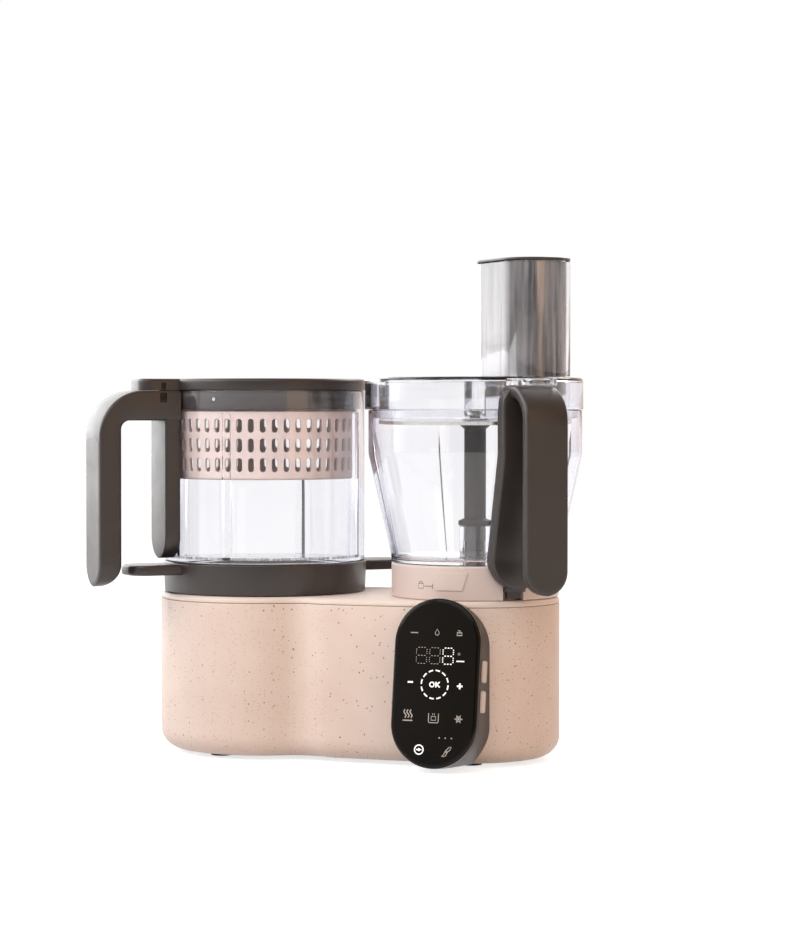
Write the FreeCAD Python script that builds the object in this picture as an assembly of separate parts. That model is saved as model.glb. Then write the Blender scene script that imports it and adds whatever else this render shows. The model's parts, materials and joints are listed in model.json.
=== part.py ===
import FreeCAD, Part
import math
import os

# Baby food maker: a steamer jug and a slicing processor side by side on one base.
# Millimetres, +Z up. The origin is on the table under the middle of the base,
# +X runs from the steamer to the processor and -Y is the front with the control panel.

os.makedirs("parts", exist_ok=True)
Vec = FreeCAD.Vector
UP = Vec(0, 0, 1)

# Clearances
seat_gap = 0.3              # between faces of pieces that lift or turn apart
running_gap = 0.08          # radial, shaft in bearing and spindle in its tube
fit_gap = 0.15              # radial, pieces that are pushed or screwed together

# Base outline, seen from above
axis_spacing = 177.0        # steamer axis to processor axis
lobe_radius = 83.0          # round end under the steamer
end_radius = 70.0           # round end under the processor, also half the depth there
end_margin = 0.5            # base beyond the processor collar
waist_radius = 26.0         # hollow blend between the two lobes
shoulder_radius = 40.0      # rounded shoulder beside the waist
shoulder_offset = 84.0      # steamer axis to the shoulder centre

# Base heights and walls
foot_height = 3.0
foot_radius = 9.0
base_height = 124.0         # underside of the housing to the top of the cover
cover_band = 5.0            # visible height of the top cover
base_wall = 3.0
base_floor = 5.0
base_bottom_round = 16.0
cover_round = 3.5
cover_thickness = 4.0
plate_inset = 20.0          # bottom plate edge inside the base outline
plate_ledge = 7.0
plate_thickness = 2.5
screw_radius = 1.7

# Control panel, a tilted pill on the front
panel_width = 68.0
panel_length = 127.5
panel_tilt = 8.6            # degrees, leaning back
panel_stand_off = 17.5      # middle of the panel face in front of the base
panel_drop = 60.0           # middle of the panel below the top of the cover
panel_offset = -2.5         # panel middle from the processor axis
panel_wall = 3.5
panel_round = 2.5
glass_rim = 2.2
glass_thickness = 2.0
glass_proud = 0.4
board_thickness = 1.6
button_height = 16.4
button_depth = 8.0
button_pitch = 22.5
button_proud = 1.8
button_travel = 1.2
button_behind = 11.0        # button middle behind the panel face

# Steamer
tray_radius = 81.0
tray_height = 24.6
tray_wall = 3.0
ear_reach = 118.0
ear_width = 40.0
ear_thickness = 8.0
jug_radius = 79.5
jug_height = 134.5
jug_wall = 2.5
jug_floor = 3.0
basket_radius = 74.0
basket_height = 53.0
basket_wall = 2.0
basket_draft = 1.5          # basket is this much narrower at its floor
slot_rows = 3
slot_columns = 50
slot_width = 4.6
slot_height = 10.8
slot_row_pitch = 15.2
lid_thickness = 9.0
lid_skirt = 15.0
lid_round = 2.5
tongue_reach = 110.0
tongue_width = 31.0

# Processor
collar_radius = 65.0
collar_height = 26.0
spigot_radius = 60.0
bowl_foot_radius = 65.4
bowl_rim_radius = 83.0
bowl_foot_height = 5.0      # straight foot of the bowl above the collar
bowl_taper_height = 79.0
bowl_rim_height = 34.0
bowl_wall = 2.6
spindle_radius = 8.5
disc_clearance = 2.8        # between the disc and the ribs of the bowl
disc_drop = 9.0             # disc top below the bowl rim
processor_lid_height = 24.7
lid_overhang = 0.8          # of the processor lid past the bowl rim
chute_start = 14.0          # chute inner side from the processor axis
chute_margin = 10.4         # chute outer side from the wall of the bowl
chute_width = 87.0          # tangential
chute_flat = 4.0            # half of the flat on the chute's narrow sides
chute_rise = 90.0           # above the lid
chute_wall = 2.5
lock_angle = 25.0           # degrees the collar turns

# Handles
grip_gap = 36.0             # finger room of the steamer handle
steamer_grip_thickness = 18.0
steamer_grip_width = 36.0
processor_grip_reach = 120.0
processor_grip_thickness = 9.0
processor_grip_width = 35.0
steamer_leg_thickness = 11.0
steamer_leg_width = 35.0
processor_leg_thickness = 10.0
processor_leg_width = 46.0
steamer_handle_angle = 225.0    # degrees from +X
processor_handle_angle = -45.0
chute_angle = 45.0

# Heights that follow from the sizes above
base_bottom = foot_height
seam_height = base_bottom + base_height - cover_band
deck = base_bottom + base_height
tray_top = deck + tray_height
jug_bottom = tray_top + seat_gap
jug_top = jug_bottom + jug_height
lid_bottom = jug_top + seat_gap
lid_top = lid_bottom + lid_thickness
collar_top = deck + collar_height
bowl_bottom = collar_top + seat_gap
bowl_rim = bowl_bottom + bowl_foot_height + bowl_taper_height + bowl_rim_height
disc_top = bowl_rim - disc_drop
processor_lid_bottom = bowl_rim + seat_gap
processor_lid_top = processor_lid_bottom + processor_lid_height
chute_top = processor_lid_top + chute_rise

# Places that follow from the sizes above
base_length = lobe_radius + axis_spacing + collar_radius + end_margin
steamer_x = lobe_radius - base_length / 2
processor_x = steamer_x + axis_spacing
end_x = base_length / 2 - end_radius
shoulder_x = steamer_x + shoulder_offset
panel_x = processor_x + panel_offset
panel_lift = base_height - panel_drop


# Shape helpers

def polar(radius, degrees, z=0.0):
    """Point at a radius and an angle from +X."""
    angle = math.radians(degrees)
    return Vec(radius * math.cos(angle), radius * math.sin(angle), z)


def rounded_face(corners, place):
    """Face inside (a, b, round) corners; place turns (a, b) into a point."""
    points = [Vec(a, b, 0) for a, b, _ in corners]
    starts, middles, ends = [], [], []
    for index, (_, _, radius) in enumerate(corners):
        here = points[index]
        back = (points[index - 1] - here).normalize()
        ahead = (points[(index + 1) % len(points)] - here).normalize()
        half = back.getAngle(ahead) / 2
        middle = here
        if radius > 0:
            toward = (back + ahead).normalize()
            middle = here + toward * (radius / math.sin(half) - radius)
        reach = radius / math.tan(half)
        starts.append(here + back * reach)
        middles.append(middle)
        ends.append(here + ahead * reach)
    edges = []
    for index in range(len(points)):
        start, middle, end = (place(p.x, p.y) for p in (starts[index], middles[index], ends[index]))
        if corners[index][2] > 0:
            edges.append(Part.Arc(start, middle, end).toShape())
        after = starts[(index + 1) % len(points)]
        following = place(after.x, after.y)
        if end.distanceToPoint(following) > 1e-6:
            edges.append(Part.LineSegment(end, following).toShape())
    return Part.Face(Part.Wire(edges))


def turned(corners, x=0.0):
    """Solid of revolution from (radius, height, round) corners about a vertical axis at x."""
    face = rounded_face(corners, lambda a, b: Vec(x + a, 0, b))
    return face.revolve(Vec(x, 0, 0), UP, 360)


def rod(radius, low, high, x=0.0, y=0.0):
    """Upright cylinder between two heights."""
    return Part.makeCylinder(radius, high - low, Vec(x, y, low), UP)


def ring(outer, inner, low, high, x=0.0, y=0.0):
    """Upright ring between two heights."""
    return rod(outer, low, high, x, y).cut(rod(inner, low - 1, high + 1, x, y))


def block(low, high):
    """Box between two corners."""
    return Part.makeBox(high[0] - low[0], high[1] - low[1], high[2] - low[2], Vec(*low))


def upright_plate(corners, width):
    """Plate from (reach, height, round) corners in the XZ plane, centred on y = 0."""
    face = rounded_face(corners, lambda a, b: Vec(a, -width / 2, b))
    return face.extrude(Vec(0, width, 0))


def rounded_bar(length, width, low, high, corner):
    """Upright bar with rounded corners, centred on the origin in plan."""
    a = length / 2
    b = width / 2
    corners = [(-a, -b, corner), (a, -b, corner), (a, b, corner), (-a, b, corner)]
    return rounded_face(corners, lambda u, v: Vec(u, v, low)).extrude(Vec(0, 0, high - low))


def placed(shape, degrees, x):
    """Copy turned about the vertical axis and moved along X."""
    copy = shape.copy()
    copy.rotate(Vec(0, 0, 0), UP, degrees)
    copy.translate(Vec(x, 0, 0))
    return copy


def around(shape, count, first=0.0):
    """Copies of a shape evenly spaced about the vertical axis through the origin."""
    copies = []
    for index in range(count):
        copy = shape.copy()
        copy.rotate(Vec(0, 0, 0), UP, first + 360.0 * index / count)
        copies.append(copy)
    return copies


def rounded_edges(shape, radius, wanted):
    """Shape with the edges that satisfy a test rounded."""
    return shape.makeFillet(radius, [edge for edge in shape.Edges if wanted(edge)])


def at_height(z):
    """Test for edges that lie in one level plane."""
    return lambda edge: abs(edge.BoundBox.ZMin - z) < 1e-4 and abs(edge.BoundBox.ZMax - z) < 1e-4


# Base outline: two lobes, a hollow waist and rounded shoulders, all in tangent arcs

def waist_centre():
    """Centre of the front waist arc, tangent outside to the lobe and to the shoulder."""
    lobe = Vec(steamer_x, 0, 0)
    shoulder = Vec(shoulder_x, shoulder_radius - end_radius, 0)
    along = shoulder - lobe
    distance = along.Length
    along.normalize()
    to_lobe = lobe_radius + waist_radius
    to_shoulder = shoulder_radius + waist_radius
    step = (to_lobe ** 2 - to_shoulder ** 2 + distance ** 2) / (2 * distance)
    aside = math.sqrt(to_lobe ** 2 - step ** 2)
    return lobe + along * step + Vec(along.y, -along.x, 0) * aside


def arc_about(centre, start, end):
    """Short arc about a centre between two points."""
    radius = (start - centre).Length
    toward = ((start - centre) + (end - centre)).normalize()
    return Part.Arc(start, centre + toward * radius, end).toShape()


def base_outline(inset, z):
    """Closed outline of the base, moved inwards by inset, at height z."""
    lobe = Vec(steamer_x, 0, z)
    waist = waist_centre() + Vec(0, 0, z)
    shoulder = Vec(shoulder_x, shoulder_radius - end_radius, z)
    leave_lobe = lobe + (waist - lobe).normalize() * (lobe_radius - inset)
    leave_waist = shoulder + (waist - shoulder).normalize() * (shoulder_radius - inset)
    leave_shoulder = Vec(shoulder_x, inset - end_radius, z)
    reach_end = Vec(end_x, inset - end_radius, z)
    front = [
        arc_about(waist, leave_lobe, leave_waist),
        arc_about(shoulder, leave_waist, leave_shoulder),
        Part.LineSegment(leave_shoulder, reach_end).toShape(),
    ]
    mirror = [edge.mirror(Vec(0, 0, 0), Vec(0, 1, 0)) for edge in front]
    far_end = Vec(end_x + end_radius - inset, 0, z)
    end_arc = Part.Arc(reach_end, far_end, Vec(reach_end.x, -reach_end.y, z)).toShape()
    near_end = Vec(steamer_x - lobe_radius + inset, 0, z)
    lobe_arc = Part.Arc(Vec(leave_lobe.x, -leave_lobe.y, z), near_end, leave_lobe).toShape()
    edges = front + [end_arc] + mirror + [lobe_arc]
    return Part.Wire(Part.__sortEdges__(edges))


def base_prism(inset, low, high):
    """Upright solid on the base outline."""
    return Part.Face(base_outline(inset, low)).extrude(Vec(0, 0, high - low))


def sector(outer, inner, low, high, middle, span):
    """Part of an upright ring, span degrees wide about an angle."""
    wedge = Part.makeCylinder(outer, high - low, Vec(0, 0, low), UP, span)
    wedge.rotate(Vec(0, 0, 0), UP, middle - span / 2)
    return wedge.cut(rod(inner, low - 1, high + 1))


nodes = {}

# Housing: a tub with a rolled bottom edge and a ledge for the bottom plate
floor_top = base_bottom + base_floor
plate_top = base_bottom + plate_thickness
screw_inset = plate_inset + plate_ledge / 2
screw_places = [
    Vec(steamer_x, 0, 0) + polar(lobe_radius - screw_inset, 130),
    Vec(steamer_x, 0, 0) + polar(lobe_radius - screw_inset, 230),
    Vec(shoulder_x, end_radius - screw_inset, 0),
    Vec(shoulder_x, screw_inset - end_radius, 0),
    Vec(end_x, 0, 0) + polar(end_radius - screw_inset, 45),
    Vec(end_x, 0, 0) + polar(end_radius - screw_inset, -45),
]
screw_length = 11.0
screw_head = 3.2
screw_head_height = 1.5
boss_radius = 3.4
boss_height = 8.0

outer_block = base_prism(0, base_bottom, seam_height)
outer_block = rounded_edges(outer_block, base_bottom_round, at_height(base_bottom))
hollow = base_prism(base_wall, floor_top, seam_height + 1)
hollow = rounded_edges(hollow, base_bottom_round - base_wall, at_height(floor_top))
housing = outer_block.cut(hollow)
housing = housing.cut(base_prism(plate_inset, base_bottom - 1, plate_top))
housing = housing.cut(base_prism(plate_inset + plate_ledge, plate_top - 1, floor_top + 1))
for place in screw_places:
    housing = housing.fuse(rod(boss_radius, floor_top - 1, floor_top + boss_height, place.x, place.y))
    housing = housing.cut(rod(screw_radius, base_bottom, floor_top + boss_height - 1, place.x, place.y))

# Mains inlet: a recessed socket let into the rear wall, with two pins
inlet_x = shoulder_x + 40.0
inlet_z = base_bottom + 32.0
inlet_width = 28.0
inlet_height = 22.0
inlet_depth = 20.0
inlet_flange = 2.5
inlet_wall = 2.5
inlet_corner = 4.0
pin_radius = 1.2
pin_length = 12.5
pin_spacing = 8.6


def inlet_block(margin, front, back):
    """Rounded block through the rear wall, between two distances from the wall's outer face."""
    half_width = inlet_width / 2 + margin
    half_height = inlet_height / 2 + margin
    corner = inlet_corner + margin
    corners = [
        (inlet_x - half_width, inlet_z - half_height, corner),
        (inlet_x + half_width, inlet_z - half_height, corner),
        (inlet_x + half_width, inlet_z + half_height, corner),
        (inlet_x - half_width, inlet_z + half_height, corner),
    ]
    face = rounded_face(corners, lambda a, b: Vec(a, end_radius - back, b))
    return face.extrude(Vec(0, back + front, 0))


housing = housing.cut(inlet_block(fit_gap, 1, base_wall + 1))
inlet = inlet_block(0, 0, inlet_depth).fuse(inlet_block(inlet_flange, inlet_flange / 2, 0))
inlet = inlet.cut(inlet_block(-inlet_wall, inlet_flange, inlet_depth - inlet_wall))
pins = []
for side in (-1, 1):
    pin_start = Vec(inlet_x + side * pin_spacing / 2, end_radius - inlet_depth + inlet_wall, inlet_z)
    pins.append(Part.makeCylinder(pin_radius, pin_length, pin_start, Vec(0, 1, 0)))
nodes["inlet_pins"] = Part.makeCompound(pins)
nodes["base_housing"] = housing
nodes["mains_inlet"] = inlet

# Steamer heater sizes, needed by the cover opening
heater_radius = 56.5
heater_rise = 1.6
heater_sheet = 2.0
heater_flange = 64.0
opening_margin = 1.5
cover_under = deck - cover_thickness

# Processor drive sizes, needed by the cover boss
shaft_radius = 4.0
drive_boss_radius = 14.0
drive_boss_top = bowl_bottom - 3.0
seal_radius = 9.0
seal_height = 4.0
pilot_radius = 54.0
pilot_wall = 4.0
pilot_height = 6.0
tab_reach = 4.5
tab_height = 2.5
tab_span = lock_angle - 3.0
tab_count = 3

# Top cover: plate with a plug-in skirt, heater opening, tray rim and bayonet pilot
cover_block = base_prism(0, seam_height, deck)
cover_block = rounded_edges(cover_block, cover_round, at_height(deck))
skirt_wall = 2.0
skirt_drop = 6.0
cover = cover_block.cut(base_prism(base_wall, seam_height - 1, cover_under))
skirt = base_prism(base_wall + fit_gap, seam_height - skirt_drop, cover_under)
skirt = skirt.cut(base_prism(base_wall + fit_gap + skirt_wall, seam_height - skirt_drop - 1, cover_under))
cover = cover.fuse(skirt)
tray_rim_radius = tray_radius - 2 * tray_wall
tray_rim_wall = 2.5
tray_rim_rise = 2.0
cover = cover.fuse(ring(tray_rim_radius, tray_rim_radius - tray_rim_wall, cover_under, deck + tray_rim_rise,
                        steamer_x))
cover = cover.cut(rod(heater_radius + opening_margin, cover_under - 1, deck + 1, steamer_x))
pilot = ring(pilot_radius, pilot_radius - pilot_wall, cover_under, deck + pilot_height)
for index in range(tab_count):
    middle = 360.0 * index / tab_count + 90.0
    tab_low = deck + pilot_height - tab_height
    pilot = pilot.fuse(sector(pilot_radius + tab_reach, pilot_radius - 1, tab_low, deck + pilot_height,
                              middle, tab_span))
cover = cover.fuse(placed(pilot, 0, processor_x))
cover = cover.fuse(rod(drive_boss_radius, cover_under, drive_boss_top, processor_x))
cover = cover.cut(rod(shaft_radius + 2 * seat_gap, cover_under - 1, drive_boss_top + 1, processor_x))
cover = cover.cut(rod(seal_radius, drive_boss_top - seal_height, drive_boss_top + 1, processor_x))
nodes["base_top_cover"] = cover.removeSplitter()
nodes["shaft_seal"] = ring(seal_radius - fit_gap, shaft_radius + seat_gap, drive_boss_top - seal_height,
                           drive_boss_top - 0.5, processor_x)

# Drive train places
belt_centres = 66.0
motor_x = processor_x - belt_centres
motor_radius = 30.0
motor_height = 70.0
bracket_low = base_bottom + 26.0
bracket_thickness = 3.0
motor_low = bracket_low + bracket_thickness
motor_high = motor_low + motor_height
bracket_length = 84.0
bracket_depth = 74.0
bracket_corner = 10.0
post_inset = 7.0
post_radius = 4.0
post_places = []
for side_x in (-1, 1):
    for side_y in (-1, 1):
        post_x = motor_x + side_x * (bracket_length / 2 - post_inset)
        post_places.append(Vec(post_x, side_y * (bracket_depth / 2 - post_inset), 0))

# Bottom plate with air slots, motor posts and power board stand-offs
power_board_length = 70.0
power_board_width = 50.0
stand_off_height = 8.0
stand_off_radius = 3.0
stand_off_inset = 5.0
foot_stem = 3.0
foot_head = 4.2
foot_head_height = 2.5
foot_angle = 70.0
foot_margin = 1.8
foot_ring = plate_inset + plate_ledge + foot_head + foot_margin
foot_places = []
for side_y in (-1, 1):
    foot_places.append(Vec(steamer_x, 0, 0) + polar(lobe_radius - foot_ring, 180 - side_y * foot_angle))
    foot_places.append(Vec(end_x, 0, 0) + polar(end_radius - foot_ring, side_y * foot_angle))
foot_places.append(Vec(0, 0, 0))
bottom_plate = base_prism(plate_inset + seat_gap, base_bottom, plate_top)
for place in screw_places:
    bottom_plate = bottom_plate.cut(rod(screw_radius + fit_gap, 0, plate_top + 1, place.x, place.y))
    bottom_plate = bottom_plate.cut(rod(screw_head + fit_gap, 0, base_bottom + screw_head_height,
                                        place.x, place.y))
for place in foot_places:
    bottom_plate = bottom_plate.cut(rod(foot_stem + fit_gap, 0, plate_top + 1, place.x, place.y))
air_slot_count = 7
air_slot_pitch = 7.0
air_slot_width = 3.0
air_slot_length = 34.0
air_slot = rounded_bar(air_slot_width, air_slot_length, base_bottom - 1, plate_top + 1, 0.45 * air_slot_width)
for index in range(air_slot_count):
    offset = (index - (air_slot_count - 1) / 2) * air_slot_pitch
    bottom_plate = bottom_plate.cut(placed(air_slot, 0, motor_x + offset))
for place in post_places:
    bottom_plate = bottom_plate.fuse(rod(post_radius, plate_top - 1, bracket_low, place.x, place.y))
board_low = plate_top + stand_off_height
for side_x in (-1, 1):
    for side_y in (-1, 1):
        spot_x = steamer_x + side_x * (power_board_length / 2 - stand_off_inset)
        spot_y = side_y * (power_board_width / 2 - stand_off_inset)
        bottom_plate = bottom_plate.fuse(rod(stand_off_radius, plate_top - 1, board_low, spot_x, spot_y))
nodes["bottom_plate"] = bottom_plate

foot_profile = [
    (0, 0, 0), (foot_radius, 0, 1.0), (foot_radius, foot_height, 0), (foot_stem, foot_height, 0),
    (foot_stem, plate_top, 0), (foot_head, plate_top, 0), (foot_stem, plate_top + foot_head_height, 0),
    (0, plate_top + foot_head_height, 0),
]
foot = turned(foot_profile)
nodes["rubber_feet"] = Part.makeCompound([foot.translated(place) for place in foot_places])

screw_profile = [
    (0, base_bottom, 0), (screw_head, base_bottom, 0.5), (screw_head, base_bottom + screw_head_height, 0),
    (screw_radius - 0.1, base_bottom + screw_head_height, 0),
    (screw_radius - 0.1, base_bottom + screw_length, 0), (0, base_bottom + screw_length, 0),
]
screw = turned(screw_profile)
nodes["bottom_screws"] = Part.makeCompound([screw.translated(place) for place in screw_places])

# Heater: a steel dish in the cover opening, its seal, the ring element and the thermostat
heater_top = deck + heater_rise
heater_under = heater_top - heater_sheet
flange_sheet = 1.5
seal_thickness = 2.5
flange_top = cover_under - seal_thickness
nodes["heating_plate"] = turned([
    (0, heater_under, 0), (heater_radius - heater_sheet, heater_under, 1.0),
    (heater_radius - heater_sheet, flange_top - flange_sheet, 0),
    (heater_flange, flange_top - flange_sheet, 0),
    (heater_flange, flange_top, 0), (heater_radius, flange_top, 0), (heater_radius, heater_top, 2.0),
    (0, heater_top, 0),
], steamer_x)
nodes["heater_seal"] = ring(heater_flange, heater_radius + 0.5, flange_top, cover_under, steamer_x)
element_radius = 40.0
element_tube = 4.0
element_span = 320.0
element_z = heater_under - element_tube
element = Part.makeTorus(element_radius, element_tube, Vec(0, 0, element_z), UP, 0, 360, element_span)
element_tail = 16.0
for degrees in (0.0, element_span):
    end = polar(element_radius, degrees)
    element = element.fuse(rod(element_tube - 1, element_z - element_tail, element_z, end.x, end.y))
nodes["heating_element"] = placed(element, 0, steamer_x)
thermostat_radius = 9.0
thermostat_height = 8.0
terminal_spread = 6.0
terminal_half = 3.0
terminal_sheet = 0.8
terminal_length = 10.0
can_under = heater_under - thermostat_height
thermostat = rod(thermostat_radius, can_under, heater_under)
for side in (-1, 1):
    middle = side * terminal_spread
    low_corner = (middle - terminal_sheet / 2, -terminal_half, can_under - terminal_length)
    thermostat = thermostat.fuse(block(low_corner, (middle + terminal_sheet / 2, terminal_half, can_under + 1)))
nodes["thermostat"] = placed(thermostat, 0, steamer_x)

# Power board on its stand-offs: board, transformer, two capacitors and a heat sink
power_board = block((-power_board_length / 2, -power_board_width / 2, board_low),
                    (power_board_length / 2, power_board_width / 2, board_low + board_thickness))
board_top = board_low + board_thickness
sunk = board_top - 0.5
transformer_height = 24.0
power_board = power_board.fuse(block((-30, -18, sunk), (-2, 12, board_top + transformer_height)))
for x, y, radius, height in ((12.0, -12.0, 8.0, 30.0), (27.0, -12.0, 6.0, 22.0)):
    power_board = power_board.fuse(rod(radius, sunk, board_top + height, x, y))
fin_count = 5
fin_pitch = 4.0
fin_sheet = 1.5
fin_height = 20.0
for index in range(fin_count):
    fin_y = 2.0 + fin_pitch * index
    power_board = power_board.fuse(block((6, fin_y, sunk), (32, fin_y + fin_sheet, board_top + fin_height)))
nodes["power_board"] = placed(power_board, 0, steamer_x)

# Motor on its bracket, standing with its pulley underneath
pulley_low = base_bottom + 8.0
pulley_height = 10.0
pulley_flange = 3.0
pulley_flange_sheet = 1.2
drive_pulley_radius = 30.0
motor_pulley_radius = 8.0
belt_thickness = 2.0
bearing_radius = 8.0
bearing_height = 5.0
can_wall = 3.0
rotor_radius = 23.0
rotor_height = 42.0
rotor_slots = 12
bracket = rounded_bar(bracket_length, bracket_depth, bracket_low, motor_low, bracket_corner)
bracket = bracket.cut(rod(bearing_radius + 2, bracket_low - 1, motor_low + 1))
nodes["motor_bracket"] = placed(bracket, 0, motor_x)
bearing_bore = bearing_radius + fit_gap
nodes["motor_can"] = turned([
    (bearing_bore, motor_low, 0), (motor_radius, motor_low, 2.0), (motor_radius, motor_high, 4.0),
    (bearing_bore, motor_high, 0), (bearing_bore, motor_high - can_wall, 0),
    (motor_radius - can_wall, motor_high - can_wall, 0), (motor_radius - can_wall, motor_low + can_wall, 0),
    (bearing_bore, motor_low + can_wall, 0),
], motor_x)
shaft_bore = shaft_radius + running_gap
nodes["motor_bearings"] = Part.makeCompound([
    ring(bearing_radius, shaft_bore, motor_low, motor_low + bearing_height, motor_x),
    ring(bearing_radius, shaft_bore, motor_high - bearing_height, motor_high, motor_x),
])
rotor_low = (motor_low + motor_high - rotor_height) / 2
rotor = rod(rotor_radius, rotor_low, rotor_low + rotor_height)
for groove in around(rod(2.5, rotor_low - 1, rotor_low + rotor_height + 1, rotor_radius), rotor_slots):
    rotor = rotor.cut(groove)
rotor = rotor.cut(rod(shaft_radius + fit_gap, rotor_low - 1, rotor_low + rotor_height + 1))
nodes["motor_rotor"] = placed(rotor, 0, motor_x)
nodes["motor_shaft"] = rod(shaft_radius, pulley_low - 1, motor_high + 2, motor_x)


def pulley(radius, x):
    """Flanged belt pulley bored for a shaft."""
    edge = radius + pulley_flange
    high = pulley_low + pulley_height
    bore = shaft_radius + fit_gap
    return turned([
        (bore, pulley_low, 0), (edge, pulley_low, 0.4), (edge, pulley_low + pulley_flange_sheet, 0.4),
        (radius, pulley_low + pulley_flange_sheet, 0), (radius, high - pulley_flange_sheet, 0),
        (edge, high - pulley_flange_sheet, 0.4), (edge, high, 0.4), (bore, high, 0),
    ], x)


def belt_loop(extra, low, high):
    """Upright solid inside a line drawn round both pulleys at a distance."""
    small = motor_pulley_radius + extra
    large = drive_pulley_radius + extra
    lean = math.asin((large - small) / belt_centres)
    normal = Vec(-math.sin(lean), math.cos(lean), 0)
    start = Vec(motor_x, 0, low) + normal * small
    end = Vec(processor_x, 0, low) + normal * large
    start_below = Vec(start.x, -start.y, low)
    end_below = Vec(end.x, -end.y, low)
    edges = [
        Part.LineSegment(start, end).toShape(),
        Part.Arc(end, Vec(processor_x + large, 0, low), end_below).toShape(),
        Part.LineSegment(end_below, start_below).toShape(),
        Part.Arc(start_below, Vec(motor_x - small, 0, low), start).toShape(),
    ]
    return Part.Face(Part.Wire(edges)).extrude(Vec(0, 0, high - low))


nodes["motor_pulley"] = pulley(motor_pulley_radius, motor_x)
drive_pulley = pulley(drive_pulley_radius, 0)
for hole in around(rod(6.0, pulley_low - 1, pulley_low + pulley_height + 1, drive_pulley_radius / 2 + 3), 6):
    drive_pulley = drive_pulley.cut(hole)
nodes["drive_pulley"] = placed(drive_pulley, 0, processor_x)
belt_low = pulley_low + pulley_flange_sheet + seat_gap
belt_high = pulley_low + pulley_height - pulley_flange_sheet - seat_gap
belt = belt_loop(seat_gap + belt_thickness, belt_low, belt_high)
nodes["drive_belt"] = belt.cut(belt_loop(seat_gap, belt_low - 1, belt_high + 1))

# Upright drive shaft in its bearing housing, with a two-jaw dog on top
hub_low = pulley_low + pulley_height + 6.0
hub_radius = 13.0
hub_flange = 38.0
hub_flange_sheet = 4.0
bearing_seat = bearing_radius + fit_gap
nodes["drive_bearing_housing"] = turned([
    (bearing_seat, hub_low, 0), (hub_radius, hub_low, 1.0), (hub_radius, cover_under - hub_flange_sheet, 6.0),
    (hub_flange, cover_under - hub_flange_sheet, 1.5), (hub_flange, cover_under, 0),
    (bearing_seat, cover_under, 0),
], processor_x)
nodes["drive_bearings"] = Part.makeCompound([
    ring(bearing_radius, shaft_bore, hub_low, hub_low + bearing_height, processor_x),
    ring(bearing_radius, shaft_bore, cover_under - bearing_height, cover_under, processor_x),
])
jaw_low = bowl_bottom + 9.0
jaw_high = jaw_low + 8.0
jaw_span = 50.0
jaw_core = 2.0
dog_radius = spindle_radius - seat_gap
dog_low = drive_boss_top + 0.5
shaft_top = jaw_low - 2.0
nodes["drive_shaft"] = rod(shaft_radius, pulley_low - 1, shaft_top, processor_x)
dog = rod(dog_radius, dog_low, jaw_low).cut(rod(shaft_radius + fit_gap, dog_low - 1, shaft_top + fit_gap))
for middle in (0.0, 180.0):
    dog = dog.fuse(sector(dog_radius, jaw_core, jaw_low - 1, jaw_high, middle, jaw_span))
nodes["drive_dog"] = placed(dog, 0, processor_x)

# Interlock switch under the cover, in line with the processor handle
interlock_half_depth = 6.0
interlock_half_width = 10.0
interlock_height = 12.0
switch = block((-interlock_half_depth, -interlock_half_width, cover_under - interlock_height),
               (interlock_half_depth, interlock_half_width, cover_under))
switch.translate(Vec(pilot_radius - 2, 0, 0))
nodes["interlock_switch"] = placed(switch, processor_handle_angle, processor_x)

# Control panel, drawn flat with its face at height 0 and then stood up against the base
panel_depth = panel_stand_off + 24.0
lip_width = 1.5
lip_low = glass_thickness + 2.0
half_panel = panel_width / 2


def pill(inset, low, high):
    """Pill-shaped solid, moved inwards from the panel outline by inset."""
    width = panel_width - 2 * inset
    return rounded_bar(width, panel_length - 2 * inset, low, high, width / 2)


def on_panel(shape):
    """Shape drawn flat, leant back and set in front of the base."""
    copy = shape.copy()
    copy.rotate(Vec(0, 0, 0), Vec(1, 0, 0), 90 - panel_tilt)
    copy.translate(Vec(panel_x, -end_radius - panel_stand_off, base_bottom + panel_lift))
    return copy


def side_pad(margin, middle, inner, outer):
    """Rounded block through the right-hand wall of the panel, between two distances from its middle."""
    half_height = button_height / 2 + margin
    half_depth = button_depth / 2 + margin
    corner = button_depth / 4 + margin
    corners = [
        (middle - half_height, -button_behind - half_depth, corner),
        (middle + half_height, -button_behind - half_depth, corner),
        (middle + half_height, -button_behind + half_depth, corner),
        (middle - half_height, -button_behind + half_depth, corner),
    ]
    return rounded_face(corners, lambda a, b: Vec(inner, a, b)).extrude(Vec(outer - inner, 0, 0))


button_gap = 0.3
button_flange = 1.2
button_flange_margin = 0.8
button_round = 0.8
flange_outer = half_panel - panel_wall - button_gap
flange_inner = flange_outer - button_flange
switch_outer = flange_inner - button_travel - button_gap
switch_length = 9.5
button_middle = -1.0
button_places = {"upper": button_middle + button_pitch / 2, "lower": button_middle - button_pitch / 2}

panel_body = rounded_edges(pill(0, -panel_depth, 0), panel_round, at_height(0))
panel_body = panel_body.cut(pill(glass_rim, -glass_thickness, 1))
panel_body = panel_body.cut(pill(panel_wall + lip_width, -lip_low - 1, 0))
panel_body = panel_body.cut(pill(panel_wall, -panel_depth - 1, -lip_low))
for middle in button_places.values():
    panel_body = panel_body.cut(side_pad(button_gap, middle, flange_outer - 1, half_panel + 1))
panel_body = on_panel(panel_body).cut(outer_block).cut(cover_block)
panel_body = panel_body.cut(rod(collar_radius + 2 * end_margin, deck - 1, deck + collar_height, processor_x))
table_zone = block((-base_length, -base_length, -base_height), (base_length, base_length, base_bottom))
nodes["control_panel_body"] = panel_body.cut(table_zone)
glass = pill(glass_rim + fit_gap, -glass_thickness, glass_proud)
nodes["touch_panel"] = on_panel(rounded_edges(glass, glass_proud * 0.9, at_height(glass_proud)))
nodes["control_board"] = on_panel(pill(panel_wall + button_gap, -lip_low - board_thickness, -lip_low))
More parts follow.
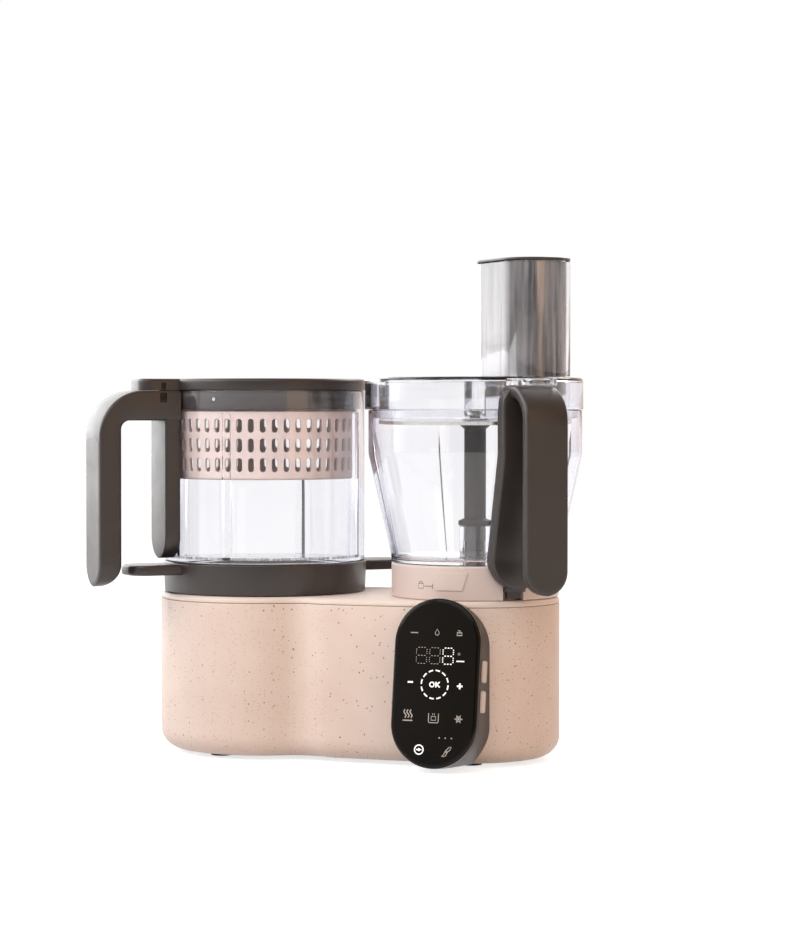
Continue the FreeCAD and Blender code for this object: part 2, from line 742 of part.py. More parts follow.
nodes["display_module"] = on_panel(block((-20, 4, -lip_low), (20, 18, -glass_thickness - 0.2)))

switches = []
for name, middle in button_places.items():
    cap = side_pad(0, middle, flange_outer, half_panel + button_proud)
    outer_face = half_panel + button_proud
    cap = rounded_edges(cap, button_round, lambda edge: edge.BoundBox.XMin > outer_face - 1e-4)
    cap = cap.fuse(side_pad(button_flange_margin, middle, flange_inner, flange_outer))
    nodes["side_button_" + name] = on_panel(cap)
    board_back = -lip_low - board_thickness
    switches.append(on_panel(block((switch_outer - switch_length, middle - 5, board_back - 8),
                                   (switch_outer, middle + 5, board_back))))
nodes["button_switches"] = Part.makeCompound(switches)

# Steamer tray: a skirted ring with two ears, its floor ring, and the steel pan under the floor
tray_bottom = deck + seat_gap
pan_sheet = 1.0
pan_radius = 60.0
pan_low = heater_top + seat_gap
tray_floor_low = pan_low + pan_sheet
tray_floor = 2.5
tray_opening = pan_radius - 7.0
ear_drop = 1.5
ear_corner = 14.0
tray_floor_high = tray_floor_low + tray_floor
tray_skirt_inner = tray_rim_radius + 1.0
tray = turned([
    (tray_skirt_inner, tray_bottom, 0), (tray_radius - 1, tray_bottom, 1.2), (tray_radius, tray_top, 1.4),
    (tray_radius - tray_wall, tray_top, 1.0), (tray_radius - tray_wall - 1, tray_floor_high, 0),
    (tray_skirt_inner, tray_floor_high, 0),
])
ear_high = tray_top - ear_drop
ear_corners = [
    (tray_radius - 12, -ear_width / 2, 0), (ear_reach, -ear_width / 2, ear_corner),
    (ear_reach, ear_width / 2, ear_corner), (tray_radius - 12, ear_width / 2, 0),
]
ear_low = ear_high - ear_thickness
ear = rounded_face(ear_corners, lambda a, b: Vec(a, b, ear_low)).extrude(Vec(0, 0, ear_thickness))
ear = rounded_edges(ear, 2.0, lambda edge: at_height(ear_high)(edge) or at_height(ear_low)(edge))
ear = ear.cut(rod(tray_radius - 1.5, deck, tray_top + 1))
for copy in around(ear, 2, steamer_handle_angle):
    tray = tray.fuse(copy)
nodes["steam_tray"] = placed(tray, 0, steamer_x)
nodes["tray_floor"] = ring(tray_skirt_inner, tray_opening, tray_floor_low, tray_floor_high, steamer_x)
nodes["tray_pan"] = rod(pan_radius, pan_low, pan_low + pan_sheet, steamer_x)

# Clear jug: an open tube with four inner ribs, and a foot ring that drops into the tray and carries the grid
jug_foot_wall = 2.4
jug_foot_drop = 8.0
grid_low = jug_bottom + jug_floor
grid_sheet = 2.0
grid_top = grid_low + grid_sheet
basket_top = lid_bottom - lid_skirt - 1.7
basket_bottom = basket_top - basket_height
jug_inner = jug_radius - jug_wall
rib_width = 6.0
rib_inner = basket_radius + 0.7
shelf_inner = basket_radius - 4.0
jug = turned([
    (jug_inner, jug_bottom, 0), (jug_radius, jug_bottom, 1.0), (jug_radius, jug_top, 0.8),
    (jug_inner, jug_top, 0.8),
])
rib = block((rib_inner, -rib_width / 2, grid_low + 0.5), (jug_inner + 0.5, rib_width / 2, basket_top - 2))
shelf = block((shelf_inner, -rib_width / 2, grid_top + 0.2),
              (jug_inner, rib_width / 2, basket_bottom - seat_gap))
for copy in around(rib, 4) + around(shelf, 4):
    jug = jug.fuse(copy)
nodes["steamer_jug"] = placed(jug.removeSplitter(), 0, steamer_x)
nodes["jug_foot"] = ring(jug_inner, jug_inner - jug_foot_wall, tray_top - jug_foot_drop, grid_low, steamer_x)

# Jug grid: a thin disc with rings of drain holes
grid = rod(jug_inner - seat_gap, grid_low, grid_top)
rib_notch = block((rib_inner - seat_gap, -rib_width / 2 - seat_gap, grid_low - 1),
                  (jug_radius, rib_width / 2 + seat_gap, grid_top + 1))
for notch in around(rib_notch, 4):
    grid = grid.cut(notch)
grid_holes = []
for circle in range(1, 5):
    hole = rod(3.0, grid_low - 1, grid_top + 1, 15.0 * circle)
    grid_holes += around(hole, 6 * circle, 7.5)
nodes["jug_grid"] = placed(grid.cut(grid_holes), 0, steamer_x)

# Steam basket: a tapered cup with three rows of upright slots and a drained floor
basket_foot = basket_radius - basket_draft
basket_rim = 3.2
basket = turned([
    (0, basket_bottom, 0), (basket_foot, basket_bottom, 2.0), (basket_radius, basket_top, 0.6),
    (basket_radius - basket_rim, basket_top, 0.6), (basket_radius - basket_rim, basket_top - 3, 0.6),
    (basket_radius - basket_wall, basket_top - 4.5, 0),
    (basket_foot - basket_wall, basket_bottom + basket_wall, 1.5),
    (0, basket_bottom + basket_wall, 0),
])
slot_end = slot_width * 0.3
slot_corners = []
for side_y, side_z in ((-1, -1), (1, -1), (1, 1), (-1, 1)):
    wide = (side_y * slot_width / 2, side_z * (slot_height / 2 - slot_end))
    tall = (side_y * (slot_width / 2 - slot_end), side_z * slot_height / 2)
    slot_corners += [wide, tall] if side_y == side_z else [tall, wide]
top_row = basket_top - 11.1
slot_tools = []
for row in range(slot_rows):
    row_z = top_row - row * slot_row_pitch
    outline = [(y, row_z + z, 0) for y, z in slot_corners]
    face = rounded_face(outline, lambda a, b: Vec(basket_foot - 2 * basket_wall, a, b))
    slot_tools += around(face.extrude(Vec(4 * basket_wall, 0, 0)), slot_columns, 180.0 / slot_columns)
for circle in range(1, 4):
    hole = rod(3.0, basket_bottom - 1, basket_bottom + basket_wall + 1, 18.0 * circle)
    slot_tools += around(hole, 6 * circle)
nodes["steam_basket"] = placed(basket.cut(slot_tools), 0, steamer_x)

# Steamer lid: a shallow cap with a thumb tongue over the handle and a latch tooth, and the skirt under it
lid_wall = 3.0
lid_radius = jug_radius + 0.5
lid_skirt_radius = jug_inner - 0.5
lid_skirt_low = lid_bottom - lid_skirt
seal_low = lid_bottom - 6.0
seal_width = 3.5
seal_depth = 1.3
tooth_inner = jug_radius + 2.2
tooth_length = 6.5
tooth_width = 10.0
tooth_drop = 7.5
lid_under = lid_top - lid_wall
lid = turned([
    (0, lid_under, 0), (lid_skirt_radius, lid_under, 0), (lid_skirt_radius, lid_bottom, 0),
    (lid_radius, lid_bottom, 0.8), (lid_radius, lid_top, lid_round), (0, lid_top, 0),
])
skirt = turned([
    (lid_skirt_radius - lid_wall, lid_skirt_low, 0.6), (lid_skirt_radius, lid_skirt_low, 0.6),
    (lid_skirt_radius, lid_under, 0), (lid_skirt_radius - lid_wall, lid_under, 0),
])
skirt = skirt.cut(ring(lid_skirt_radius + 1, lid_skirt_radius - seal_depth, seal_low, seal_low + seal_width))
vent_radius = 3.0
vent_start = Vec(0, -lid_skirt_radius - 2, seal_low - vent_radius - 1.5)
skirt = skirt.cut(Part.makeCylinder(vent_radius, 2 * lid_wall, vent_start, Vec(0, 1, 0)))
tongue_corners = [
    (lid_radius - 12, -tongue_width / 2, 0), (tongue_reach, -tongue_width / 2, 9.0),
    (tongue_reach, tongue_width / 2, 9.0), (lid_radius - 12, tongue_width / 2, 0),
]
tongue = rounded_face(tongue_corners, lambda a, b: Vec(a, b, lid_bottom)).extrude(Vec(0, 0, lid_thickness))
tongue = rounded_edges(tongue, lid_round, at_height(lid_top))
tongue = tongue.cut(rod(lid_radius - 2, lid_bottom - 1, lid_top + 1))
tooth = block((tooth_inner, -tooth_width / 2, lid_bottom - tooth_drop),
              (tooth_inner + tooth_length, tooth_width / 2, lid_bottom + 1))
lid = lid.fuse(placed(tongue.fuse(tooth), steamer_handle_angle, 0))
nodes["steamer_lid"] = placed(lid, 0, steamer_x)
nodes["lid_skirt"] = placed(skirt, 0, steamer_x)
nodes["lid_seal"] = ring(jug_inner - seat_gap, lid_skirt_radius - seal_depth + 0.1, seal_low + 0.1,
                         seal_low + seal_width - 0.1, steamer_x)


# Handles: an upside-down U with a broad outer strap, drawn on +X and turned into place

def edge_on_side(half_width):
    """Test for edges on the two flat sides of a handle."""
    return lambda edge: (abs(abs(edge.CenterOfMass.y) - half_width) < 1e-3
                         and edge.BoundBox.YLength < 1e-3)


def grip_strap(inner, outer, width, arm_low, arm_high, low, reach_in, inner_bend, bend):
    """Arm and outer strap of a handle, with a half-round end and eased edges."""
    end = low + width / 2
    strap = upright_plate([
        (reach_in, arm_low, 0), (inner, arm_low, inner_bend), (inner, end, 0), (outer, end, 0),
        (outer, arm_high, bend), (reach_in, arm_high, 0),
    ], width)
    round_end = Part.makeCylinder(width / 2, outer - inner, Vec(inner, 0, end), Vec(1, 0, 0))
    strap = strap.fuse(round_end).removeSplitter()

    def rim(edge):
        box = edge.BoundBox
        on_end = box.XLength < 1e-3 and box.ZMin < end - 1 and box.YLength > width / 2
        return on_end or (edge_on_side(width / 2)(edge) and box.XMax > reach_in + 1)

    return rounded_edges(strap, grip_round, rim)


def leg_prism(width, low, high, shoulder):
    """Broad block along X with the front view of a handle leg: half round at its foot."""
    half = width / 2
    corners = [
        (-half, low, half - 0.01), (half, low, half - 0.01), (half, high, shoulder), (-half, high, shoulder),
    ]
    face = rounded_face(corners, lambda a, b: Vec(0, a, b))
    return face.extrude(Vec(2 * jug_radius, 0, 0))


def strap_inlay(outer, width, low, high, start, depth):
    """Pill-shaped inlay on the outer face of a strap, between two depths."""
    half = width / 2 - inlay_margin
    corners = [
        (-half, low + inlay_margin, half - 0.01), (half, low + inlay_margin, half - 0.01),
        (half, high, 6.0), (-half, high, 6.0),
    ]
    face = rounded_face(corners, lambda a, b: Vec(outer - start, a, b))
    return face.extrude(Vec(start - depth, 0, 0))


def handle_screw(face, z, margin):
    """Pan-head screw let into the finger side of a handle leg."""
    neck = face - handle_screw_head_height
    head = Part.makeCylinder(screw_head + margin, handle_screw_head_height, Vec(neck, 0, z), Vec(1, 0, 0))
    shank = Part.makeCylinder(handle_screw_shank + margin, handle_screw_length,
                              Vec(neck - handle_screw_length, 0, z), Vec(1, 0, 0))
    return head.fuse(shank)


grip_round = 2.6
leg_round = 2.0
arm_root = 6.0
arm_overlap = 6.0
handle_screw_head_height = 2.2
handle_screw_shank = 1.5
handle_screw_length = 6.8
inlay_margin = 3.2
inlay_depth = 1.2
inlay_proud = 0.15

# Steamer handle on the jug
steamer_leg_face = jug_radius + steamer_leg_thickness
steamer_strap_inner = steamer_leg_face + grip_gap
steamer_strap_outer = steamer_strap_inner + steamer_grip_thickness
steamer_arm_low = jug_top - 23.4
steamer_handle_low = tray_top - 17.6
steamer_leg_low = jug_bottom + 3.0
steamer_inner_bend = 7.0
steamer_bend = 36.0
steamer_inlay_high = jug_top - steamer_bend - 1
handle = grip_strap(steamer_strap_inner, steamer_strap_outer, steamer_grip_width, steamer_arm_low, jug_top,
                    steamer_handle_low, jug_radius - arm_root, steamer_inner_bend, steamer_bend)
leg = leg_prism(steamer_leg_width, steamer_leg_low, steamer_arm_low + arm_overlap, 0)
leg = leg.common(block((jug_radius - arm_root, -jug_radius, 0), (steamer_leg_face, jug_radius, jug_top)))
leg = rounded_edges(leg, leg_round, lambda edge: edge.BoundBox.XMin > steamer_leg_face - 1e-3
                    and edge.BoundBox.ZMin < steamer_arm_low)
handle = handle.fuse(leg)
handle = handle.cut(rod(jug_radius, 0, jug_top + 10))
handle = handle.cut(block((jug_radius - 8, -tooth_width / 2 - 0.5, lid_bottom - tooth_drop - 0.6),
                          (tooth_inner + tooth_length + 0.5, tooth_width / 2 + 0.5, jug_top + 1)))
handle = handle.cut(strap_inlay(steamer_strap_outer, steamer_grip_width, steamer_handle_low,
                                steamer_inlay_high, inlay_depth, -1))
steamer_screw_heights = (steamer_leg_low + 28.0, steamer_arm_low - 26.0)
for z in steamer_screw_heights:
    handle = handle.cut(handle_screw(steamer_leg_face, z, fit_gap))
nodes["steamer_handle"] = placed(handle, steamer_handle_angle, steamer_x)
inlay = strap_inlay(steamer_strap_outer, steamer_grip_width, steamer_handle_low + fit_gap,
                    steamer_inlay_high - fit_gap, inlay_depth, -inlay_proud)
nodes["steamer_handle_inlay"] = placed(inlay, steamer_handle_angle, steamer_x)
screws = [handle_screw(steamer_leg_face, z, 0) for z in steamer_screw_heights]
nodes["steamer_handle_screws"] = placed(Part.makeCompound(screws), steamer_handle_angle, steamer_x)

# Twist-lock collar: carries the bowl, turns on the pilot and locks under its tabs
collar_bottom = deck + seat_gap
collar_cavity = pilot_radius + tab_reach + 1.5
collar_bore = spigot_radius + 0.4
web_low = deck + pilot_height + 2.0
web_top = web_low + 3.0
web_hole = 30.0
spigot_low = bowl_bottom - 12.0
toe_half = 8.0
collar = turned([
    (web_hole, web_low, 0), (collar_cavity, web_low, 0), (collar_cavity, collar_bottom, 0),
    (collar_radius, collar_bottom, 0.8), (collar_radius, collar_top, 1.5), (collar_bore, collar_top, 0.6),
    (collar_bore, web_top, 0), (web_hole, web_top, 0),
])
for index in range(tab_count):
    middle = 360.0 * index / tab_count + 90.0
    collar = collar.fuse(sector(collar_cavity + 0.5, pilot_radius + 0.6, collar_bottom,
                                deck + pilot_height - tab_height - seat_gap, middle, tab_span))
notch = block((collar_cavity - 2.0, -toe_half - seat_gap, collar_bottom - 1),
              (collar_radius + 5, toe_half + seat_gap, collar_top + 1))
collar = collar.cut(placed(notch, processor_handle_angle, 0))
nodes["bowl_collar"] = placed(collar, 0, processor_x)

# Clear processor bowl: spigot, short straight foot, tapered wall, straight rim and a centre tube
tube_inner = spindle_radius + running_gap
tube_outer = tube_inner + 3.4
tube_top = bowl_bottom + 29.0
spigot_wall = 3.0
bowl_floor = bowl_bottom + 3.0
foot_top = bowl_bottom + bowl_foot_height
taper_top = foot_top + bowl_taper_height
foot_inner = bowl_foot_radius - bowl_wall
rim_inner = bowl_rim_radius - bowl_wall
processor_lid_radius = bowl_rim_radius + lid_overhang
bowl_slope = (bowl_rim_radius - bowl_foot_radius) / bowl_taper_height
floor_inner = foot_inner - bowl_slope * (foot_top - bowl_floor)
soft_bend = 22.0
bowl_rib_height = 2.6
bowl_rib_span = 2.6
bowl = turned([
    (tube_inner, tube_top, 0), (tube_inner, bowl_bottom, 0), (spigot_radius - spigot_wall, bowl_bottom, 0),
    (spigot_radius - spigot_wall, spigot_low, 0), (spigot_radius, spigot_low, 0.8),
    (spigot_radius, bowl_bottom, 0),
    (bowl_foot_radius, bowl_bottom, 1.2), (bowl_foot_radius, foot_top, soft_bend),
    (bowl_rim_radius, taper_top, soft_bend),
    (bowl_rim_radius, bowl_rim, 0.8), (rim_inner, bowl_rim, 0.8),
    (rim_inner, taper_top, soft_bend - bowl_wall), (floor_inner, bowl_floor, 4.0),
    (tube_outer, bowl_floor, 2.0),
    (tube_outer, tube_top, 0.8),
])
rib_low = bowl_floor + 5.0
rib_foot = foot_inner + bowl_slope * (rib_low - foot_top)
rib_face = rounded_face([
    (rib_foot - bowl_rib_height, rib_low, 0), (rib_foot + 1, rib_low, 0),
    (rim_inner + 1, taper_top, 0), (rim_inner - bowl_rib_height, taper_top, 0),
], lambda a, b: Vec(a, 0, b))
bowl_rib = rib_face.revolve(Vec(0, 0, 0), UP, bowl_rib_span)
rib_start = processor_handle_angle - 97.0
for copy in around(bowl_rib, 4, rib_start):
    bowl = bowl.fuse(copy)
nodes["processor_bowl"] = placed(bowl.removeSplitter(), 0, processor_x)
bowl_outside = turned([
    (0, bowl_bottom, 0), (bowl_foot_radius, bowl_bottom, 0), (bowl_foot_radius, foot_top, soft_bend),
    (bowl_rim_radius, taper_top, soft_bend), (bowl_rim_radius, bowl_rim, 0), (0, bowl_rim, 0),
])

# Processor handle: its leg follows the taper, with a toe in the collar notch for the interlock plunger
processor_handle_high = processor_lid_top - 7.3
processor_arm_low = processor_handle_high - processor_grip_thickness
processor_handle_low = deck + 7.0
processor_leg_low = deck + 9.0
processor_strap_inner = processor_grip_reach - processor_grip_thickness
processor_inner_bend = 17.0
processor_bend = 27.0
processor_shoulder = 12.0
leg_top = processor_handle_high - 1.0
processor_inlay_high = processor_handle_high - processor_bend - 1
leg_foot_face = bowl_foot_radius + processor_leg_thickness
leg_rim_face = bowl_rim_radius + processor_leg_thickness
leg_gap = 0.5
toe_root = 3.9
toe_inner = spigot_radius + 0.6
toe_low = deck + 7.0
toe_high = bowl_bottom - 3.0
handle = grip_strap(processor_strap_inner, processor_grip_reach, processor_grip_width, processor_arm_low,
                    processor_handle_high, processor_handle_low, bowl_rim_radius - arm_root,
                    processor_inner_bend, processor_bend)
leg = upright_plate([
    (spigot_radius, processor_leg_low, 0), (leg_foot_face, processor_leg_low, 0),
    (leg_foot_face, foot_top, soft_bend),
    (leg_rim_face, taper_top, soft_bend), (leg_rim_face, leg_top, 0), (spigot_radius, leg_top, 0),
], 2 * processor_leg_width)
leg = leg.common(leg_prism(processor_leg_width, processor_leg_low, leg_top, processor_shoulder))
leg = rounded_edges(leg, leg_round, lambda edge: edge.BoundBox.XMin > leg_foot_face - 1e-3
                    and edge.BoundBox.ZMin < processor_arm_low and edge.BoundBox.ZLength > 0.1)
handle = handle.fuse(leg).cut(bowl_outside)
handle = handle.cut(rod(processor_lid_radius + 0.5, bowl_rim - 0.1, processor_lid_top + 1))
handle = handle.cut(rod(collar_radius + leg_gap, deck, bowl_bottom))
toe = block((toe_inner, -toe_half, toe_low), (collar_radius + leg_gap + toe_root, toe_half, toe_high))
handle = handle.fuse(toe)
plunger_inner = toe_inner + 1.4
plunger_thickness = 2.6
plunger_half = 5.4
plunger_low = deck + 2.0
plunger_high = deck + 12.0
plunger_travel = 4.0
spring_length = 3.5
slide_gap = 0.3
handle = handle.cut(block((plunger_inner - slide_gap, -plunger_half - slide_gap, toe_low - 1),
                          (plunger_inner + plunger_thickness + slide_gap, plunger_half + slide_gap,
                           plunger_high + spring_length + plunger_travel + slide_gap)))
handle = handle.cut(strap_inlay(processor_grip_reach, processor_grip_width, processor_handle_low,
                                processor_inlay_high, inlay_depth, -1))
processor_screws = []
for z in (foot_top + 8.0, foot_top + 24.0):
    processor_screws.append((leg_foot_face + bowl_slope * (z - foot_top), z))
for face, z in processor_screws:
    handle = handle.cut(handle_screw(face, z, fit_gap))
nodes["processor_handle"] = placed(handle, processor_handle_angle, processor_x)
inlay = strap_inlay(processor_grip_reach, processor_grip_width, processor_handle_low + fit_gap,
                    processor_inlay_high - fit_gap, inlay_depth, -inlay_proud)
nodes["processor_handle_inlay"] = placed(inlay, processor_handle_angle, processor_x)
screws = [handle_screw(face, z, 0) for face, z in processor_screws]
nodes["processor_handle_screws"] = placed(Part.makeCompound(screws), processor_handle_angle, processor_x)
plunger = block((plunger_inner, -plunger_half, plunger_low),
                (plunger_inner + plunger_thickness, plunger_half, plunger_high))
nodes["interlock_plunger"] = placed(plunger, processor_handle_angle, processor_x)
spring = ring(plunger_thickness / 2, plunger_thickness / 4, plunger_high, plunger_high + spring_length,
              plunger_inner + plunger_thickness / 2)
nodes["plunger_spring"] = placed(spring, processor_handle_angle, processor_x)

# Spindle, slicing disc and blade
spindle_low = jaw_high + seat_gap
flange_low = tube_top + seat_gap
spindle_flange = 13.0
disc_sheet = 1.2
disc_lip = 2.6
disc_under = disc_top - disc_sheet
spindle_top = disc_top + 5.5
tip_radius = 4.0
tip_top = spindle_top + 7.0
spindle = turned([
    (0, spindle_low, 0), (spindle_radius, spindle_low, 0), (spindle_radius, flange_low, 0),
    (spindle_flange, flange_low, 0),
    (spindle_flange, flange_low + 3.5, 1.0), (spindle_radius, flange_low + 5.5, 0),
    (spindle_radius, disc_under - 6, 0),
    (spindle_flange - 1, disc_under - 3.5, 0.6), (spindle_flange - 1, disc_under, 0),
    (spindle_radius, disc_under, 0),
    (spindle_radius, disc_top + 1.2, 0), (spindle_radius + 1.8, disc_top + 1.2, 0.5),
    (spindle_radius + 1.8, spindle_top, 1.0), (tip_radius, spindle_top, 0), (tip_radius, tip_top, 1.0),
    (0, tip_top, 0),
])
for middle in (90.0, 270.0):
    spindle = spindle.fuse(sector(dog_radius, jaw_core, jaw_low + seat_gap, spindle_low + 0.5,
                                  middle, jaw_span))
nodes["disc_spindle"] = placed(spindle, 0, processor_x)
disc_radius = rim_inner - bowl_rib_height - disc_clearance
blade_margin = 6.0
blade_start = 20.0
blade_end = disc_radius - blade_margin
blade_mouth = 9.0
disc = rod(disc_radius, disc_under, disc_top)
disc = disc.fuse(ring(disc_radius, disc_radius - 1.0, disc_top - disc_lip, disc_under + 0.5))
disc = disc.cut(rod(spindle_radius + fit_gap, disc_under - 1, disc_top + 1))
disc = disc.cut(block((blade_start, -blade_mouth, disc_under - 1), (blade_end, 0, disc_top + 1)))
nodes["slicing_disc"] = placed(disc, 0, processor_x)
blade_face = rounded_face([
    (0.5, disc_top, 0), (10.0, disc_top, 0), (10.0, disc_top + 0.8, 0), (1.0, disc_top + 0.9, 0),
    (-7.0, disc_top + 2.9, 0), (-7.3, disc_top + 2.2, 0),
], lambda a, b: Vec(blade_start, a, b))
nodes["slicing_blade"] = placed(blade_face.extrude(Vec(blade_end - blade_start, 0, 0)), 0, processor_x)

# Clear processor lid with its centre post and handle lug, and the feed chute that stands through it
plug_outer = rim_inner - 0.4
plug_inner = plug_outer - 2.2
plug_depth = 7.0
chute_depth = rim_inner - chute_margin - chute_start
chute_offset = chute_start + chute_depth / 2
chute_corner = chute_depth / 2 - chute_flat
lid_shell = 2.6
band_inner = processor_lid_radius - lid_shell
post_low = spindle_top + seat_gap
post_radius_clear = spindle_radius
chute_low = disc_top + 5.0
lug_reach = 112.0
lug_half = 15.0


def chute_bar(inset, low, high):
    """Upright bar with the chute's outline moved inwards, standing in the chute."""
    corner = chute_corner - inset
    bar = rounded_bar(chute_depth - 2 * inset, chute_width - 2 * inset, low, high, corner)
    bar.translate(Vec(chute_offset, 0, 0))
    return placed(bar, chute_angle, processor_x)


processor_lid = turned([
    (0, processor_lid_top - lid_shell, 0), (band_inner, processor_lid_top - lid_shell, 2.0),
    (band_inner, processor_lid_bottom + lid_shell, 0), (plug_inner, processor_lid_bottom + lid_shell, 0),
    (plug_inner, processor_lid_bottom - plug_depth, 0.5),
    (plug_outer, processor_lid_bottom - plug_depth, 0.5),
    (plug_outer, processor_lid_bottom, 0), (processor_lid_radius, processor_lid_bottom, 0.6),
    (processor_lid_radius, processor_lid_top, 3.0), (0, processor_lid_top, 0),
])
post = rod(post_radius_clear, post_low, processor_lid_top - 1)
post = post.cut(rod(tip_radius + running_gap, post_low - 1, tip_top + 1))
processor_lid = processor_lid.fuse(post)
lug = block((processor_lid_radius - 8, -lug_half, processor_handle_high + seat_gap),
            (lug_reach, lug_half, processor_lid_top - 1.5))
lug = rounded_edges(lug, 8.0, lambda edge: edge.BoundBox.XMin > lug_reach - 1e-3
                    and edge.BoundBox.YLength < 1e-3)
lug = lug.cut(rod(processor_lid_radius - 1, deck, chute_top))
processor_lid = processor_lid.fuse(placed(lug, processor_handle_angle, 0))
processor_lid = placed(processor_lid.removeSplitter(), 0, processor_x)
nodes["processor_lid"] = processor_lid.cut(chute_bar(0, chute_low, chute_top))
chute_hole = chute_bar(chute_wall, chute_low - 1, chute_top + 1)
nodes["feed_chute"] = chute_bar(0, chute_low, chute_top).cut(chute_hole)

# Pusher: a hollow plunger in the chute with a cap that overhangs its rim
pusher_gap = 0.5
pusher_wall = 2.2
pusher_low = processor_lid_bottom + 12.0
cap_height = 2.2
cap_plug = 4.0
pusher_inset = chute_wall + pusher_gap
cap_low = chute_top + seat_gap
pusher = chute_bar(pusher_inset, pusher_low, cap_low)
pusher_hollow = chute_bar(pusher_inset + pusher_wall, pusher_low + pusher_wall, cap_low + 1)
nodes["pusher_body"] = pusher.cut(pusher_hollow)
cap = rounded_edges(chute_bar(0, cap_low, cap_low + cap_height), 0.9, at_height(cap_low + cap_height))
nodes["pusher_cap"] = cap.fuse(chute_bar(pusher_inset + pusher_wall + fit_gap, cap_low - cap_plug, cap_low))

for name, shape in nodes.items():
    shape.exportStep("parts/" + name + ".step")
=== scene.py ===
# %% [markdown]
# # A baby food maker, dressed for its portrait
# The part is a steamer jug and a slicing processor side by side on one peanut-shaped base.
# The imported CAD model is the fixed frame: it sets every size and every joint. This script only
# adds looks. It could colour the CAD meshes as they are, but those are loose flat triangles, so
# the curved pieces that show are worked out again here as smooth surfaces of the same size.

# %% Load the frame
import json
import math
import bmesh
import bpy
import numpy as np
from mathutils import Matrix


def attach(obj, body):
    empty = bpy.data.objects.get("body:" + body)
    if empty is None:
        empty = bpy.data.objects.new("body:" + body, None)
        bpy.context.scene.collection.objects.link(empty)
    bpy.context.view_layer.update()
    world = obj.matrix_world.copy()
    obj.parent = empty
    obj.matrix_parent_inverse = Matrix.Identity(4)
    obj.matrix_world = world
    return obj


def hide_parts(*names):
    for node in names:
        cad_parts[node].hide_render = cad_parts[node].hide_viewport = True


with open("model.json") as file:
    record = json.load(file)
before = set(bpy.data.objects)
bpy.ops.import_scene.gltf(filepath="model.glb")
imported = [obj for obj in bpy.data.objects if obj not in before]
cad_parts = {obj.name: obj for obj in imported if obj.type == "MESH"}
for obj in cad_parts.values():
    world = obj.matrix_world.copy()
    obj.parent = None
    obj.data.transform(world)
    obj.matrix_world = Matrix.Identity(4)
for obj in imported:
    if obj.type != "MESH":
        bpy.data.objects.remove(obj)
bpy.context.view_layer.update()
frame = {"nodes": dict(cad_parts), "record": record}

MM = 0.001

# %% [markdown]
# ## The camera
# A product photographer stands well back with a long lens, so that upright edges stay parallel.
# The place could be found by hand, but five known points of the object give it directly:
# the camera is two metres away, twenty degrees to the right of the front and level with the lids.

# %% Place the camera
CAMERA_TURN = math.radians(20.0)
CAMERA_BACK, CAMERA_ASIDE, CAMERA_HEIGHT = 2.080, 0.033, 0.272
FOCAL_PIXELS, PICTURE_HEIGHT, HORIZON_ABOVE_MIDDLE = 2634.0, 928.0, 55.0
SENSOR_MM = 36.0

right = np.array([math.cos(CAMERA_TURN), math.sin(CAMERA_TURN), 0.0])
ahead = np.array([-math.sin(CAMERA_TURN), math.cos(CAMERA_TURN), 0.0])
camera_data = bpy.data.cameras.new("portrait_camera")
camera_data.sensor_fit = "VERTICAL"
camera_data.sensor_height = SENSOR_MM
camera_data.lens = FOCAL_PIXELS / PICTURE_HEIGHT * SENSOR_MM
camera = bpy.data.objects.new("portrait_camera", camera_data)
camera.location = CAMERA_ASIDE * right - CAMERA_BACK * ahead + np.array([0, 0, CAMERA_HEIGHT])
camera_pitch = math.atan(HORIZON_ABOVE_MIDDLE / FOCAL_PIXELS)
camera.rotation_euler = (math.pi / 2 - camera_pitch, 0, CAMERA_TURN)
bpy.context.collection.objects.link(camera)
bpy.context.scene.camera = camera
bpy.context.scene.view_settings.view_transform = "Standard"
print("lens in millimetres", round(camera_data.lens, 1))

# %% [markdown]
# ## Light and floor
# The object stands on a white sweep under large soft boxes: a broad one high on the left, one
# above the camera that reaches into the clear vessels, a weak warm one on the right and a strip
# behind that draws the rims. Bare lamps would give hard little glints, so all are wide area lights.
# The white ground comes from the Light Path node, so it costs no extra light on the object, and
# the floor still takes its shadow. Dark plastic shows its shape by what it mirrors: the room is
# bright behind, with a bright window on the left, and dim in front, where the photographer stands.


# %% Build the soft boxes
def soft_box(name, place, aim, size, watts, colour=(1, 1, 1)):
    """Area light at a place, turned so that its face looks at a height on the upright axis."""
    data = bpy.data.lights.new(name, "AREA")
    data.shape = "RECTANGLE"
    data.size, data.size_y = size
    data.energy = watts
    data.color = colour
    lamp = bpy.data.objects.new(name, data)
    lamp.location = place
    x, y, z = place
    lamp.rotation_euler = (math.pi / 2 + math.atan2(aim - z, math.hypot(x, y)), 0,
                           math.atan2(-y, -x) - math.pi / 2)
    bpy.context.collection.objects.link(lamp)


soft_box("key_box", (-1.6, -1.3, 1.5), 0.15, (1.3, 1.3), 26)
soft_box("front_box", (0.1, -2.0, 1.9), 0.2, (2.0, 1.0), 20)
soft_box("fill_box", (1.7, -1.0, 0.9), 0.2, (1.0, 1.4), 6, (1.0, 0.6, 0.32))
soft_box("rim_box", (0.4, 1.6, 1.5), 0.25, (1.8, 0.7), 16)
print("four soft boxes placed")


# %% Node helpers
def node_tree(owner):
    """Empty node tree of a material or world."""
    owner.use_nodes = True
    owner.node_tree.nodes.clear()
    return owner.node_tree


def feed(tree, node, inputs):
    """Inputs of a node, each linked to a socket or set to a value."""
    for label, source in inputs.items():
        if isinstance(source, bpy.types.NodeSocket):
            tree.links.new(source, node.inputs[label])
        else:
            node.inputs[label].default_value = source


